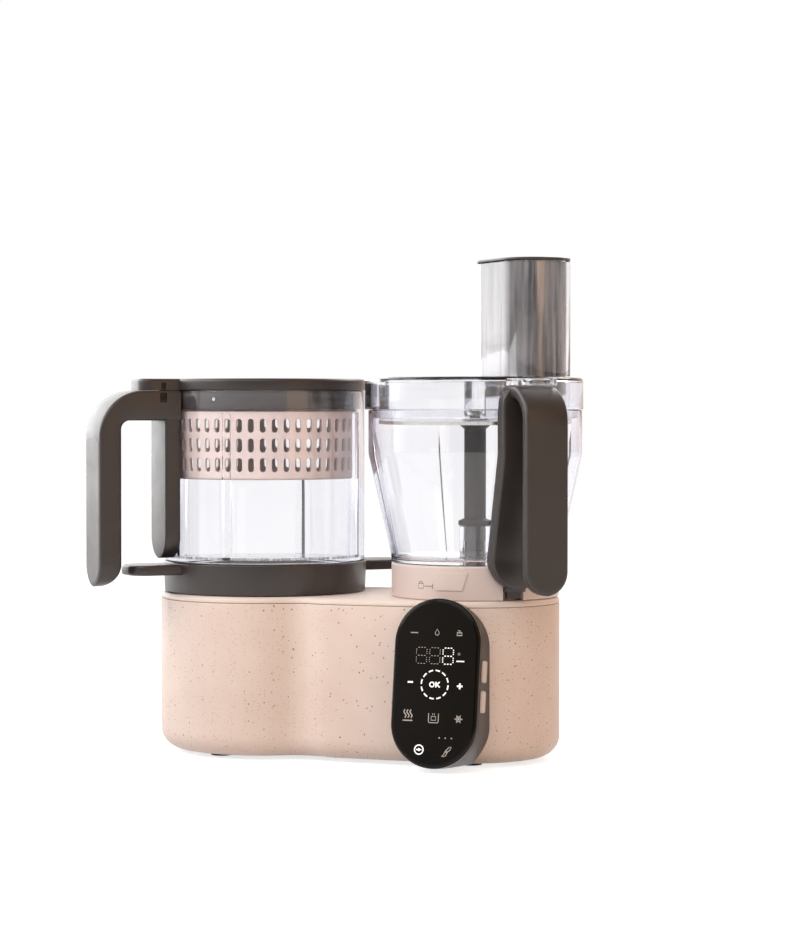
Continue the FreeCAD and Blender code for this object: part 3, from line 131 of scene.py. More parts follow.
def joined(tree, kind, inputs, **settings):
    """Shader node of a kind, with its settings made and its inputs fed."""
    node = tree.nodes.new("ShaderNode" + kind)
    for label, value in settings.items():
        setattr(node, label, value)
    feed(tree, node, inputs)
    return node


def worked(tree, operation, first, second):
    """Result of a Math node."""
    return joined(tree, "Math", {0: first, 1: second}, operation=operation).outputs[0]


def value_mix(tree, share, first, second):
    """Value between two values."""
    return joined(tree, "Mix", {0: share, 2: first, 3: second}).outputs[0]


def colour_mix(tree, share, first, second):
    """Colour between two colours."""
    return joined(tree, "Mix", {0: share, 6: first, 7: second}, data_type="RGBA").outputs[2]


def ranged(tree, value, low, high, at_low=0.0, at_high=1.0):
    """Value from low to high, mapped evenly to two other values."""
    return joined(tree, "MapRange", {"Value": value, "From Min": low, "From Max": high,
                                     "To Min": at_low, "To Max": at_high}).outputs[0]


def seen_directly(tree):
    """Light Path outputs, and the mask of rays from the camera, also those through a clear wall."""
    path = tree.nodes.new("ShaderNodeLightPath").outputs
    return path, worked(tree, "MAXIMUM", path["Is Camera Ray"], path["Is Transmission Ray"])


# %% Floor and backdrop
WHITE, FLOOR_GREY = (1, 1, 1, 1), (0.7, 0.7, 0.7, 1)
WARM_SKY = (1.0, 0.68, 0.45, 1)
BACK_LEFT, WINDOW_SIDE, WARM_SIDE = (-0.643, 0.766, 0), (-0.926, 0.337, 0.171), (0.94, 0.342, 0)
ROOM_GLOW, WINDOW_GLOW, FLOOR_LIFT = 0.42, 4.0, 0.74
FLOOR_REACH = 6.0


def toward(tree, direction, low, high, at_low, at_high):
    """Value of the sky by its dot product with a direction, from low to high."""
    sky = tree.nodes.new("ShaderNodeTexCoord").outputs["Generated"]
    dot = joined(tree, "VectorMath", {0: sky, 1: direction}, operation="DOT_PRODUCT")
    return ranged(tree, dot.outputs["Value"], low, high, at_low, at_high)


world = bpy.data.worlds.new("white_sweep")
bpy.context.scene.world = world
tree = node_tree(world)
path, direct = seen_directly(tree)
walls = toward(tree, BACK_LEFT, -0.8, 0.1, 0.15, 1.0)
window = toward(tree, WINDOW_SIDE, 0.62, 0.97, 0.0, WINDOW_GLOW)
room = value_mix(tree, path["Is Glossy Ray"], ROOM_GLOW, worked(tree, "ADD", walls, window))
warm_share = toward(tree, WARM_SIDE, -0.2, 0.9, 0.0, 1.0)
tone = colour_mix(tree, direct, colour_mix(tree, warm_share, WHITE, WARM_SKY), WHITE)
background = joined(tree, "Background", {"Color": tone, "Strength": value_mix(tree, direct, room, 1.0)})
joined(tree, "OutputWorld", {"Surface": background.outputs[0]})

floor_material = bpy.data.materials.new("pale_floor")
tree = node_tree(floor_material)
path, direct = seen_directly(tree)
seen = worked(tree, "MAXIMUM", direct, path["Is Glossy Ray"])
matt = joined(tree, "BsdfDiffuse", {"Color": FLOOR_GREY})
lift = joined(tree, "Emission", {"Color": WHITE, "Strength": worked(tree, "MULTIPLY", seen, FLOOR_LIFT)})
both = joined(tree, "AddShader", {0: matt.outputs[0], 1: lift.outputs[0]})
joined(tree, "OutputMaterial", {"Surface": both.outputs[0]})

floor_mesh = bpy.data.meshes.new("floor")
floor_corners = np.array([(-1, -1, 0), (1, -1, 0), (1, 1, 0), (-1, 1, 0)]) * FLOOR_REACH
floor_mesh.from_pydata(floor_corners, [], [(0, 1, 2, 3)])
floor = bpy.data.objects.new("floor", floor_mesh)
floor_mesh.materials.append(floor_material)
bpy.context.collection.objects.link(floor)
print("floor and world ready")

# %% [markdown]
# ## Shared surface effects
# Moulded plastic is never perfectly even: the mould leaves a fine grain, hands leave faint
# smears, and drawn or brushed metal keeps lines along one direction. Each effect could be
# rebuilt in every material, but as a node group it is made once and placed with its own values.


# %% Group helpers
def object_place(tree):
    """Object coordinates."""
    return tree.nodes.new("ShaderNodeTexCoord").outputs["Object"]


def clouds(tree, scale, detail=3.0, place=None):
    """Noise over the piece, or over another set of coordinates."""
    place = place or object_place(tree)
    return joined(tree, "TexNoise", {"Vector": place, "Scale": scale, "Detail": detail}).outputs[0]


def spread(tree, noise, low=0.0, high=1.0):
    """Noise, which seldom leaves 0.3 to 0.7, stretched to run from low to high."""
    return ranged(tree, noise, 0.3, 0.7, low, high)


def effect_group(name, inputs, results_of):
    """Shader node group with named float inputs; results_of(tree, inputs) gives its named outputs."""
    group = bpy.data.node_groups.new(name, "ShaderNodeTree")
    for label, value in inputs.items():
        socket = group.interface.new_socket(label, in_out="INPUT", socket_type="NodeSocketFloat")
        socket.default_value = value
    results = results_of(group, group.nodes.new("NodeGroupInput").outputs)
    for label in results:
        group.interface.new_socket(label, in_out="OUTPUT", socket_type="NodeSocketFloat")
    feed(group, group.nodes.new("NodeGroupOutput"), results)
    print("group", name)
    return group


# %% Moulded grain: a fine uneven skin
def grain(tree, given):
    """Fine noise as height, and slow noise between the two ends of roughness."""
    return {"Height": clouds(tree, given["Grain per metre"], 2.0),
            "Roughness": spread(tree, clouds(tree, 45.0), given["Smoothest"], given["Roughest"])}


grain_group = effect_group(
    "moulded_grain", {"Grain per metre": 2500.0, "Roughest": 0.6, "Smoothest": 0.45}, grain)


# %% Speckle: small flecks scattered in the resin
def speckle(tree, given):
    """A share of Voronoi cells has a fleck; the cell's colour draws whether, how large and its tone."""
    cells = joined(tree, "TexVoronoi", {"Vector": object_place(tree),
                                        "Scale": given["Cells per metre"]}).outputs
    draw = joined(tree, "SeparateColor", {"Color": cells["Color"]}).outputs
    chosen = worked(tree, "LESS_THAN", draw[0], given["Share"])
    reach = worked(tree, "MULTIPLY", draw[1], given["Fleck size"])
    inside = worked(tree, "LESS_THAN", cells["Distance"], reach)
    return {"Fleck": worked(tree, "MULTIPLY", inside, chosen), "Tone": draw[2]}


speckle_group = effect_group(
    "resin_speckle", {"Cells per metre": 150.0, "Fleck size": 0.16, "Share": 0.5}, speckle)


# %% Drawn lines: streaks along one direction, for brushed metal, and painted reflection streaks on the smoked pusher
def lines(tree, given):
    """Noise squeezed across the lines and stretched along them; they run along X or upright."""
    across, along = given["Across per metre"], given["Along per metre"]
    level = joined(tree, "CombineXYZ", {0: along, 1: across, 2: across}).outputs[0]
    upright = joined(tree, "CombineXYZ", {0: across, 1: across, 2: along}).outputs[0]
    scale = joined(tree, "Mix", {0: given["Upright"], 4: level, 5: upright}, data_type="VECTOR").outputs[1]
    stretched = joined(tree, "VectorMath", {0: object_place(tree), 1: scale}, operation="MULTIPLY").outputs[0]
    streaks = clouds(tree, 1.0, place=stretched)
    return {"Height": streaks, "Roughness": spread(tree, streaks, given["Smoothest"], given["Roughest"]),
            "Tone": ranged(tree, streaks, 0.35, 0.65)}


lines_and_reflection_group = effect_group(
    "drawn_lines_and_reflection_streaks", {"Across per metre": 1800.0, "Along per metre": 12.0, "Upright": 0.0, "Roughest": 0.4,
                    "Smoothest": 0.2}, lines)

# %% [markdown]
# ## Finishes
# Every slot of the record gets one finish. The shell is a pale resin full of flecks, the cover,
# collar and basket are plain satin mouldings, the grips and lid are soft dark plastic, and the
# vessels are clear. Photographs of plastic could be wrapped round the pieces, but patterns that
# are worked out in Object coordinates need no unwrapping and stay sharp at any distance.

# %% Finish helpers
finishes = {}


def ink(screen):
    """Linear colour from screen values: each value over 255, lifted by 0.055, to the power 2.4."""
    return tuple(((np.array(screen) / 255.0 + 0.055) / 1.055) ** 2.4) + (1.0,)


def new_finish(name):
    """Material with a Principled shader linked to its output."""
    material = finishes[name] = bpy.data.materials.new(name)
    tree = node_tree(material)
    shader = tree.nodes.new("ShaderNodeBsdfPrincipled")
    return tree, shader, joined(tree, "OutputMaterial", {"Surface": shader.outputs[0]})


def clouded(tree, per_metre, light, dark):
    """Two colours in slow clouds."""
    return colour_mix(tree, spread(tree, clouds(tree, per_metre)), light, dark)


def grained(tree, per_metre, smooth, rough):
    """Outputs of the moulded grain with these values."""
    return joined(tree, "Group", {"Grain per metre": per_metre, "Smoothest": smooth, "Roughest": rough},
                  node_tree=grain_group).outputs


def raised(tree, height, depth):
    """Normal of a bump with a depth in metres."""
    return joined(tree, "Bump", {"Height": height, "Distance": depth, "Strength": 1.0}).outputs[0]


def moulded(name, light, dark, smooth, rough, depth, per_metre=2500.0, specular=0.5):
    """Satin moulding: two close tones in slow clouds, a fine grain and uneven roughness."""
    tree, shader, _ = new_finish(name)
    skin = grained(tree, per_metre, smooth, rough)
    feed(tree, shader, {"Base Color": clouded(tree, 30.0, ink(light), ink(dark)),
                        "Roughness": skin["Roughness"], "Specular IOR Level": specular,
                        "Normal": raised(tree, skin["Height"], depth)})
    return tree, shader


def drawn(name, light, dark, smooth, rough, depth, across=1800.0, upright=0.0, metallic=1.0, specular=0.5):
    """Metal with lines drawn along one direction, or gloss plastic with upright painted reflection streaks,
    in two tones.
    """
    tree, shader, _ = new_finish(name)
    skin = joined(tree, "Group", {"Across per metre": across, "Upright": upright, "Smoothest": smooth,
                                  "Roughest": rough}, node_tree=lines_and_reflection_group).outputs
    feed(tree, shader, {"Base Color": colour_mix(tree, skin["Tone"], ink(light), ink(dark)),
                        "Roughness": skin["Roughness"], "Metallic": metallic, "Specular IOR Level": specular,
                        "Normal": raised(tree, skin["Height"], depth)})


# %% Plain mouldings, metals and boards
moulded("cream_plastic", (238, 221, 210), (233, 214, 202), 0.38, 0.5, 2e-5)
moulded("pink_plastic", (224, 205, 197), (218, 198, 190), 0.32, 0.46, 1e-5)
moulded("dark_plastic", (57, 50, 48), (51, 45, 43), 0.32, 0.42, 2e-5, 1800.0)
# The darker pink below is painted shade for the raised lock icon on the collar.
moulded("painted_emboss_shade", (142, 112, 100), (132, 104, 94), 0.5, 0.6, 1e-5)
moulded("rubber", (52, 50, 49), (44, 42, 41), 0.7, 0.85, 4e-5, 1500.0)
moulded("silicone", (74, 68, 66), (66, 61, 59), 0.5, 0.65, 2e-5)
moulded("spindle_plastic", (34, 26, 22), (28, 21, 18), 0.5, 0.6, 2e-5, specular=0.25)
moulded("circuit_board", (34, 92, 58), (24, 74, 46), 0.3, 0.45, 3e-5, 900.0)
drawn("steel", (210, 208, 206), (194, 193, 192), 0.16, 0.34, 4e-6)
drawn("dark_steel", (72, 72, 74), (62, 62, 65), 0.35, 0.55, 1e-5)
drawn("cast_alloy", (192, 192, 194), (180, 181, 184), 0.4, 0.6, 2e-5)
# The pusher's upright streaks, pale grey to near black, are painted reflections of the soft boxes in smoked
# plastic.
drawn("pusher_plastic", (136, 131, 129), (54, 50, 49), 0.12, 0.22, 4e-6, 260.0, 1.0, 0.45, 0.3)
print(len(finishes), "plain finishes")

# %% Speckled shell: dark and rust flecks and pale dust in a resin
tree, shader = moulded("speckled_shell", (233, 212, 200), (228, 205, 192), 0.42, 0.55, 2e-5)
tone = shader.inputs["Base Color"].links[0].from_socket
for cells, size, share, first, second in ((300.0, 0.19, 0.66, (100, 66, 46), (178, 126, 94)),
                                          (680.0, 0.3, 0.6, (196, 160, 136), (196, 160, 136))):
    flecks = joined(tree, "Group", {"Cells per metre": cells, "Fleck size": size, "Share": share},
                    node_tree=speckle_group).outputs
    tone = colour_mix(tree, flecks["Fleck"], tone, colour_mix(tree, flecks["Tone"], ink(first), ink(second)))
feed(tree, shader, {"Base Color": tone})
print("speckled shell")

# %% Glossy panel: deep black glass with faint smears
tree, shader, _ = new_finish("panel_gloss")
feed(tree, shader, {"Base Color": clouded(tree, 25.0, ink((24, 19, 15)), ink((18, 15, 12))),
                    "Roughness": grained(tree, 600.0, 0.05, 0.12)["Roughness"], "Specular IOR Level": 0.2})
print("panel gloss")

# %% Clear plastic: takes an edge colour where it is seen along its face, and lets light through
CLEAR_IOR, SHADOW_TONE = 1.49, (0.97, 0.97, 0.97, 1)
tree, shader, output = new_finish("clear_plastic")
slant = joined(tree, "Fresnel", {"IOR": CLEAR_IOR}).outputs[0]
plain = clouded(tree, 20.0, ink((254, 254, 254)), ink((251, 251, 253)))
feed(tree, shader, {"Base Color": colour_mix(tree, slant, plain, ink((196, 194, 230))), "IOR": CLEAR_IOR,
                    "Roughness": grained(tree, 300.0, 0.01, 0.03)["Roughness"], "Transmission Weight": 1.0})
through = joined(tree, "BsdfTransparent", {"Color": SHADOW_TONE})
path = tree.nodes.new("ShaderNodeLightPath").outputs
choose = joined(tree, "MixShader", {0: path["Is Shadow Ray"], 1: shader.outputs[0], 2: through.outputs[0]})
feed(tree, output, {"Surface": choose.outputs[0]})
print(sorted(finishes))

# %% [markdown]
# ## Shape tools
# Nearly every moulding here is one of three things: a profile turned about an upright axis, an
# outline stacked at several heights, or a section carried along a path. Each could be modelled
# by hand with extrudes and bevels. As formulas on a grid of two parameters they come out smooth,
# closed and exactly the size of the CAD, and one number changes one thing.


# %% Profiles and outlines
def rounded_line(corners, steps=7, closed=True):
    """Points of a line through (a, b, round) corners. Each corner is swapped for the arc that
    touches both sides: its centre lies on the bisector, round / sin(half angle) from the corner,
    and points on it are the two end spokes blended by sines of the angle left and the angle done."""
    points = np.array([corner[:2] for corner in corners], float)
    back = np.roll(points, 1, 0) - points
    onward = np.roll(points, -1, 0) - points
    back /= np.linalg.norm(back, axis=1, keepdims=True)
    onward /= np.linalg.norm(onward, axis=1, keepdims=True)
    done = np.linspace(0, 1, steps)[:, None]
    pieces = []
    for index, (_, _, radius) in enumerate(corners):
        end_of_line = not closed and index in (0, len(corners) - 1)
        if radius <= 0 or end_of_line:
            pieces.append(points[index:index + 1])
            continue
        half = 0.5 * math.acos(np.clip(np.dot(back[index], onward[index]), -1, 1))
        middle = back[index] + onward[index]
        centre = points[index] + middle / np.linalg.norm(middle) * radius / math.sin(half)
        first = points[index] + back[index] * radius / math.tan(half) - centre
        last = points[index] + onward[index] * radius / math.tan(half) - centre
        angle = math.pi - 2 * half
        spokes = (np.sin((1 - done) * angle) * first + np.sin(done * angle) * last) / math.sin(angle)
        pieces.append(centre + spokes)
    return np.concatenate(pieces)


def rounded_rectangle(half_a, half_b, corner, inset=0.0, steps=12):
    """Closed outline of a rectangle with round corners, moved inwards by inset."""
    a, b = half_a - inset, half_b - inset
    radius = min(max(corner - inset, 0.01), a - 0.001, b - 0.001)
    return rounded_line([(-a, -b, radius), (a, -b, radius), (a, b, radius), (-a, b, radius)], steps)


def edge_levels(low, high, radius, steps=5, both=True):
    """(inset, height) levels of a plate with rounded edges: a quarter circle at each rounded face."""
    angle = np.linspace(0, math.pi / 2, steps)
    top = list(zip(radius * (1 - np.cos(angle)), high - radius + radius * np.sin(angle)))
    bottom = list(zip(radius * (1 - np.sin(angle)), low + radius - radius * np.cos(angle)))
    return (bottom if both else [(0, low)]) + top


# %% Grids of points
def grid_shell(points, wrap_rows=True, wrap_columns=True, close_ends=False):
    """Vertices and faces of a grid of points. Each face joins a point to the next along both
    parameters; a wrapped parameter runs on from its last value to its first."""
    rows, columns = points.shape[:2]
    index = np.arange(rows * columns).reshape(rows, columns)
    ends = [index[0].tolist(), index[-1].tolist()] if close_ends else []
    if wrap_rows:
        index = np.vstack([index, index[:1]])
    if wrap_columns:
        index = np.hstack([index, index[:, :1]])
    quads = np.stack([index[:-1, :-1], index[1:, :-1], index[1:, 1:], index[:-1, 1:]], -1)
    return points.reshape(-1, 3), quads.reshape(-1, 4).tolist() + ends


def swept_round(turn, radius, height):
    """Grid of points at radius cos t, radius sin t and height, a row for each angle t."""
    turn, radius, height = np.broadcast_arrays(turn, radius, height)
    return np.stack([radius * np.cos(turn), radius * np.sin(turn), height], -1)


def turned_shell(corners, turns=180, closed=True, swell=None, steps=7):
    """Surface of revolution of a line through (radius, height, round) corners, at a number of even
    angles or at given ones. swell(t, radius, height) gives another radius at an angle t."""
    radius, height = rounded_line(corners, steps, closed).T
    turn = np.linspace(0, 2 * math.pi, turns, endpoint=False) if np.isscalar(turns) else turns
    turn = turn[:, None]
    if swell is not None:
        radius = swell(turn, radius, height)
    return grid_shell(swept_round(turn, radius, height), True, closed)


def arc_shell(profile, start, end, steps=12, lean=0.0):
    """Closed profile of (radius, height) carried round between two angles in degrees, with flat ends;
    it leans by so many degrees for each millimetre above its middle height."""
    radius, height = np.array(profile, float).T
    slant = (height - (height.min() + height.max()) / 2) * lean
    turn = np.radians(np.linspace(start, end, steps))[:, None] + np.radians(slant)
    return grid_shell(swept_round(turn, radius, height), False, True, True)


def loops_at(outline, levels):
    """Outline(size) as a level loop at each of the (size, height) levels."""
    loops = []
    for size, height in levels:
        flat = outline(size)
        loops.append(np.column_stack([flat, np.full(len(flat), height)]))
    return loops


def stacked_shell(outline, levels, closed=False):
    """Outline(inset) repeated at (inset, height) levels; ends are flat unless the levels close."""
    return grid_shell(np.array(loops_at(outline, levels)), closed, True, not closed)


def moved(shell, degrees=0.0, x=0.0, y=0.0):
    """Shell turned about the upright axis and then moved."""
    points, faces = shell
    cos, sin = math.cos(math.radians(degrees)), math.sin(math.radians(degrees))
    return points @ np.array([[cos, sin, 0], [-sin, cos, 0], [0, 0, 1]]) + np.array([x, y, 0]), faces


# %% From shells to a piece on its body
SHARP_EDGE = math.radians(32.0)
MERGE_REACH = 2e-7


def make_piece(name, shells, body, slot, nodes=(), x=0.0, turn=0.0, finish=None):
    """Object from closed shells in millimetres, turned and set at x, smooth except at sharp edges.
    It takes the finish of its slot, or another one where the piece has its own."""
    points, faces, start = [], [], 0
    for shell_points, shell_faces in (moved(shell, turn, x) for shell in shells):
        points.append(shell_points)
        faces += [[corner + start for corner in face] for face in shell_faces]
        start += len(shell_points)
    mesh = bpy.data.meshes.new(name)
    mesh.from_pydata(np.concatenate(points) * MM, [], faces)
    work = bmesh.new()
    work.from_mesh(mesh)
    bmesh.ops.remove_doubles(work, verts=work.verts, dist=MERGE_REACH)
    bmesh.ops.recalc_face_normals(work, faces=work.faces)
    work.to_mesh(mesh)
    work.free()
    mesh.shade_smooth()
    mesh.set_sharp_from_angle(angle=SHARP_EDGE)
    mesh.materials.append(finishes[finish or slot])
    piece = bpy.data.objects.new(name, mesh)
    bpy.context.collection.objects.link(piece)
    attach(piece, body)
    if nodes:
        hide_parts(*nodes)
    print(name, len(mesh.vertices), "points")


def smoothed_copy(node, body, slot):
    """Merged and smoothed copy of a CAD node, for small pieces whose CAD shape is already right."""
    mesh = frame["nodes"][node].data
    points = np.empty(len(mesh.vertices) * 3)
    mesh.vertices.foreach_get("co", points)
    faces = [list(face.vertices) for face in mesh.polygons]
    make_piece(node + "_smooth", [(points.reshape(-1, 3) / MM, faces)], body, slot, [node])


# %% [markdown]
# ## The base
# The real base is an injection-moulded tub with a separate top cover. Seen from above it is a
# peanut: a large lobe under the steamer, a hollow waist, and a straight-sided lobe under the
# processor. A hand-drawn curve could follow it, but five tangent arcs give the outline and all
# its parallel offsets, so the rolled bottom edge is simply the same outline moved inwards.

# %% Peanut outline
STEAMER_X, PROCESSOR_X = -79.75, 97.25
LOBE_RADIUS, END_RADIUS, END_X = 83.0, 70.0, 92.75
SHOULDER_X, SHOULDER_RADIUS, WAIST_RADIUS = 4.25, 40.0, 26.0
BASE_BOTTOM, SEAM, DECK = 3.0, 122.0, 127.0
BOTTOM_ROLL, WALL, SEAM_GAP = 16.0, 3.0, 0.35
LEDGE_INSET, LEDGE_THICKNESS = 20.0, 5.0
INLET_X, INLET_Z, INLET_HALF_WIDTH, INLET_HALF_HEIGHT = 44.25, 35.0, 14, 11

# The waist's centre lies a sum of radii from the lobe's and from the shoulder's, where two circles cross.
lobe = np.array([STEAMER_X, 0.0])
shoulder = np.array([SHOULDER_X, SHOULDER_RADIUS - END_RADIUS])
between = shoulder - lobe
spacing = np.linalg.norm(between)
between /= spacing
lobe_to_waist, shoulder_to_waist = LOBE_RADIUS + WAIST_RADIUS, SHOULDER_RADIUS + WAIST_RADIUS
along = (lobe_to_waist ** 2 - shoulder_to_waist ** 2 + spacing ** 2) / (2 * spacing)
aside = math.sqrt(lobe_to_waist ** 2 - along ** 2)
waist = lobe + between * along + np.array([between[1], -between[0]]) * aside


def arc(centre, radius, start, end, steps):
    """Points on a circle from one angle to another, both in radians."""
    angle = np.linspace(start, end, steps)
    return centre + radius * np.column_stack([np.cos(angle), np.sin(angle)])


def base_outline(inset):
    """Peanut outline moved inwards: arcs keep their centres and angles, outer radii shrink by the
    inset and the waist radius grows by it. The rear half mirrors the front half."""
    to_waist = math.atan2(*(waist - lobe)[::-1])
    from_shoulder = math.atan2(*(waist - shoulder)[::-1])
    front = np.concatenate([
        arc(lobe, LOBE_RADIUS - inset, -math.pi, to_waist, 60),
        arc(waist, WAIST_RADIUS + inset, to_waist + math.pi, from_shoulder + math.pi, 20)[1:-1],
        arc(shoulder, SHOULDER_RADIUS - inset, from_shoulder, -math.pi / 2, 16),
        [(INLET_X + side * INLET_HALF_WIDTH, inset - END_RADIUS) for side in (-1, 1)],
        arc(np.array([END_X, 0.0]), END_RADIUS - inset, -math.pi / 2, 0.0, 44),
    ])
    return np.concatenate([front, front[1:-1][::-1] * np.array([1, -1])])


print("outline points", len(base_outline(0)))

# %% Housing tub, open at the mains inlet
inlet_low, inlet_high = INLET_Z - INLET_HALF_HEIGHT, INLET_Z + INLET_HALF_HEIGHT
tub_levels = [(LEDGE_INSET, BASE_BOTTOM + LEDGE_THICKNESS), (LEDGE_INSET, BASE_BOTTOM)]
tub_levels += [(BOTTOM_ROLL * (1 - math.cos(angle)), BASE_BOTTOM + BOTTOM_ROLL * (1 - math.sin(angle)))
               for angle in np.linspace(math.pi / 2, 0, 12)]
tub_levels += [(0, inlet_low), (0, inlet_high), (0, SEAM - 1.0), (0.25, SEAM - 0.35), (0.7, SEAM)]
tub_levels += [(WALL, SEAM), (WALL, inlet_high), (WALL, inlet_low), (WALL, BASE_BOTTOM + 18),
               (6.8, BASE_BOTTOM + 8.8), (BOTTOM_ROLL, BASE_BOTTOM + LEDGE_THICKNESS)]
tub_points, tub_faces = stacked_shell(base_outline, tub_levels, closed=True)


def in_inlet(face):
    """True for the two wall faces, outer and inner, that the mains inlet passes through."""
    x, y, z = tub_points[face].T
    over = abs(x.mean() - INLET_X) < 1 and abs(z.mean() - INLET_Z) < 1
    return over and y.mean() > 0 and abs(np.ptp(z) - 2 * INLET_HALF_HEIGHT) < 1


tub_faces = [face for face in tub_faces if not in_inlet(face)]
make_piece("base_shell", [(tub_points, tub_faces)], "base", "speckled_shell", ["base_housing"])

# %% Top cover, with the ring that centres the tray, the bayonet ring and the drive boss
RING_FOOT = 124
cover_levels = [(2.5, SEAM + SEAM_GAP), (0.5, SEAM + SEAM_GAP), (0.15, SEAM + 0.5), (0, SEAM + 0.9)]
cover_levels += edge_levels(SEAM + 1.2, DECK, 3.5, 8, both=False)[1:]
tray_ring = turned_shell([(72.5, RING_FOOT, 0), (75, RING_FOOT, 0), (75, 129, 0.6), (72.5, 129, 0.6)])
on_processor = [
    turned_shell([(50, RING_FOOT, 0), (54, RING_FOOT, 0), (54, 133, 0.5), (50, 133, 0.5)]),
    turned_shell([(0, RING_FOOT, 0), (14, RING_FOOT, 0), (14, 150.3, 1.0), (0, 150.3, 0)], 60, closed=False)]
on_processor += [arc_shell([(53, 130.5), (58.5, 130.5), (58.5, 133), (53, 133)], middle - 11, middle + 11)
                 for middle in (90.0, 210.0, 330.0)]
cover_shells = [stacked_shell(base_outline, cover_levels), moved(tray_ring, x=STEAMER_X)]
cover_shells += [moved(shell, x=PROCESSOR_X) for shell in on_processor]
make_piece("base_cover", cover_shells, "base", "cream_plastic", ["base_top_cover"])

# %% [markdown]
# ## The control panel
# A pill-shaped pod leans back on the front of the base. On the real one a gloss black sheet is
# framed by a gloss bezel on a dark body, and marks glow through the sheet. The pod is the pill
# outline stacked along the panel's own axis; where it meets the base, its points are held at the
# wall, which is how the real moulding is trimmed to fit. The marks could be a printed texture,
# but as thin strokes they stay crisp and need no picture.

# %% Panel frame of reference
PANEL_X, PANEL_Y, PANEL_Z = 94.75, -87.5, 67.0
PANEL_LEAN = math.radians(90 - 8.6)
PANEL_HALF_WIDTH, PANEL_HALF_LENGTH = 34.0, 63.75
BEZEL_DEPTH, MARK_LEVEL = 5.0, 0.46
POD_BITE, POD_CLEAR = 1.5, 0.1


def on_panel(shell):
    """Shell drawn flat (x across, y up the panel, z out of it), leant back in front of the base."""
    points, faces = shell
    x, y, z = points.T
    cos, sin = math.cos(PANEL_LEAN), math.sin(PANEL_LEAN)
    return np.column_stack([PANEL_X + x, PANEL_Y + y * cos - z * sin, PANEL_Z + y * sin + z * cos]), faces


def pill_stack(levels):
    """Pill outline, whose corners are half its width, stacked at (inset, height) levels on the panel."""
    return on_panel(stacked_shell(lambda inset: rounded_rectangle(
        PANEL_HALF_WIDTH, PANEL_HALF_LENGTH, PANEL_HALF_WIDTH, inset, 40), levels))


def trimmed_to_base(shell):
    """Points behind the base wall are held just inside it: the wall lies at the straight depth or
    on the round end, less the inset of the rolled bottom edge at that height."""
    points, faces = shell
    x, y, z = points.T
    past_end = np.clip(x - END_X, 0, END_RADIUS)
    below_roll = np.clip(BASE_BOTTOM + BOTTOM_ROLL - z, 0, BOTTOM_ROLL)
    inset = BOTTOM_ROLL - np.sqrt(BOTTOM_ROLL ** 2 - below_roll ** 2)
    wall = inset - np.sqrt(END_RADIUS ** 2 - past_end ** 2) + POD_BITE
    return np.column_stack([x, np.minimum(y, wall), np.maximum(z, BASE_BOTTOM + POD_CLEAR)]), faces


# %% Pod, bezel and sheet
pod_levels = [(0.0, -41.5 + 2.2 * step) for step in range(16)]
pod_levels += [(0.0, -BEZEL_DEPTH - 0.5), (0.5, -BEZEL_DEPTH)]
bezel_levels = [(0.4, -BEZEL_DEPTH), (0.1, 0.3 - BEZEL_DEPTH)]
bezel_levels += edge_levels(0.6 - BEZEL_DEPTH, 0, 2.1, 8, both=False) + [(2.2, -0.1), (2.25, -0.5)]
sheet_levels = [(2.35, -0.6), (2.35, 0.05), (2.45, 0.25), (2.7, 0.37), (3.0, 0.4)]
make_piece("panel_pod", [trimmed_to_base(pill_stack(pod_levels))], "base", "dark_plastic",
           ["control_panel_body"])
make_piece("panel_bezel", [pill_stack(bezel_levels)], "base", "panel_gloss")
make_piece("panel_sheet", [pill_stack(sheet_levels)], "base", "panel_gloss", ["touch_panel"])


# %% Strokes for the marks
def stroke(points, width, closed=False):
    """Flat band of a width along a line: each point is moved half the width to both sides, square
    to the line's direction there."""
    points = np.array(points, float)
    if closed:
        direction = np.roll(points, -1, 0) - np.roll(points, 1, 0)
    else:
        direction = np.gradient(points, axis=0)
    direction /= np.linalg.norm(direction, axis=1, keepdims=True)
    across = np.column_stack([-direction[:, 1], direction[:, 0]]) * width / 2
    height = np.full((len(points), 1), MARK_LEVEL)
    band = np.stack([np.hstack([points + across, height]), np.hstack([points - across, height])], 1)
    return grid_shell(band, closed, False)


def circle(x, y, radius, start=0.0, end=360.0, steps=32):
    """Points on a circle between two angles in degrees."""
    return arc(np.array([x, y]), radius, math.radians(start), math.radians(end), steps)


def bar(x0, y0, x1, y1, width):
    """Straight stroke between two points."""
    return stroke([(x0, y0), (x1, y1)], width)


def ring(x, y, radius, width, steps=32):
    """Round stroke."""
    return stroke(circle(x, y, radius, steps=steps), width, True)


def dotted(x0, y0, x1, y1, width, count=3):
    """Row of short dashes between two points, half dash and half gap."""
    start, whole = np.array([x0, y0]), np.array([x1 - x0, y1 - y0])
    starts = start + (np.arange(count)[:, None] + 0.25) / count * whole
    return [stroke([place, place + whole / count * 0.55], width) for place in starts]


def digit_eight(x, y, width):
    """Seven dotted segments of one display digit about its middle."""
    half, tall, gap = 3.5, 6.0, 0.7
    rows = []
    for level in (-tall, 0.0, tall):
        rows += dotted(x - half, y + level, x + half, y + level, width)
    for side in (x - half - 0.6, x + half + 0.6):
        rows += dotted(side, y - tall + gap, side, y - gap, width)
        rows += dotted(side, y + gap, side, y + tall - gap, width)
    return rows


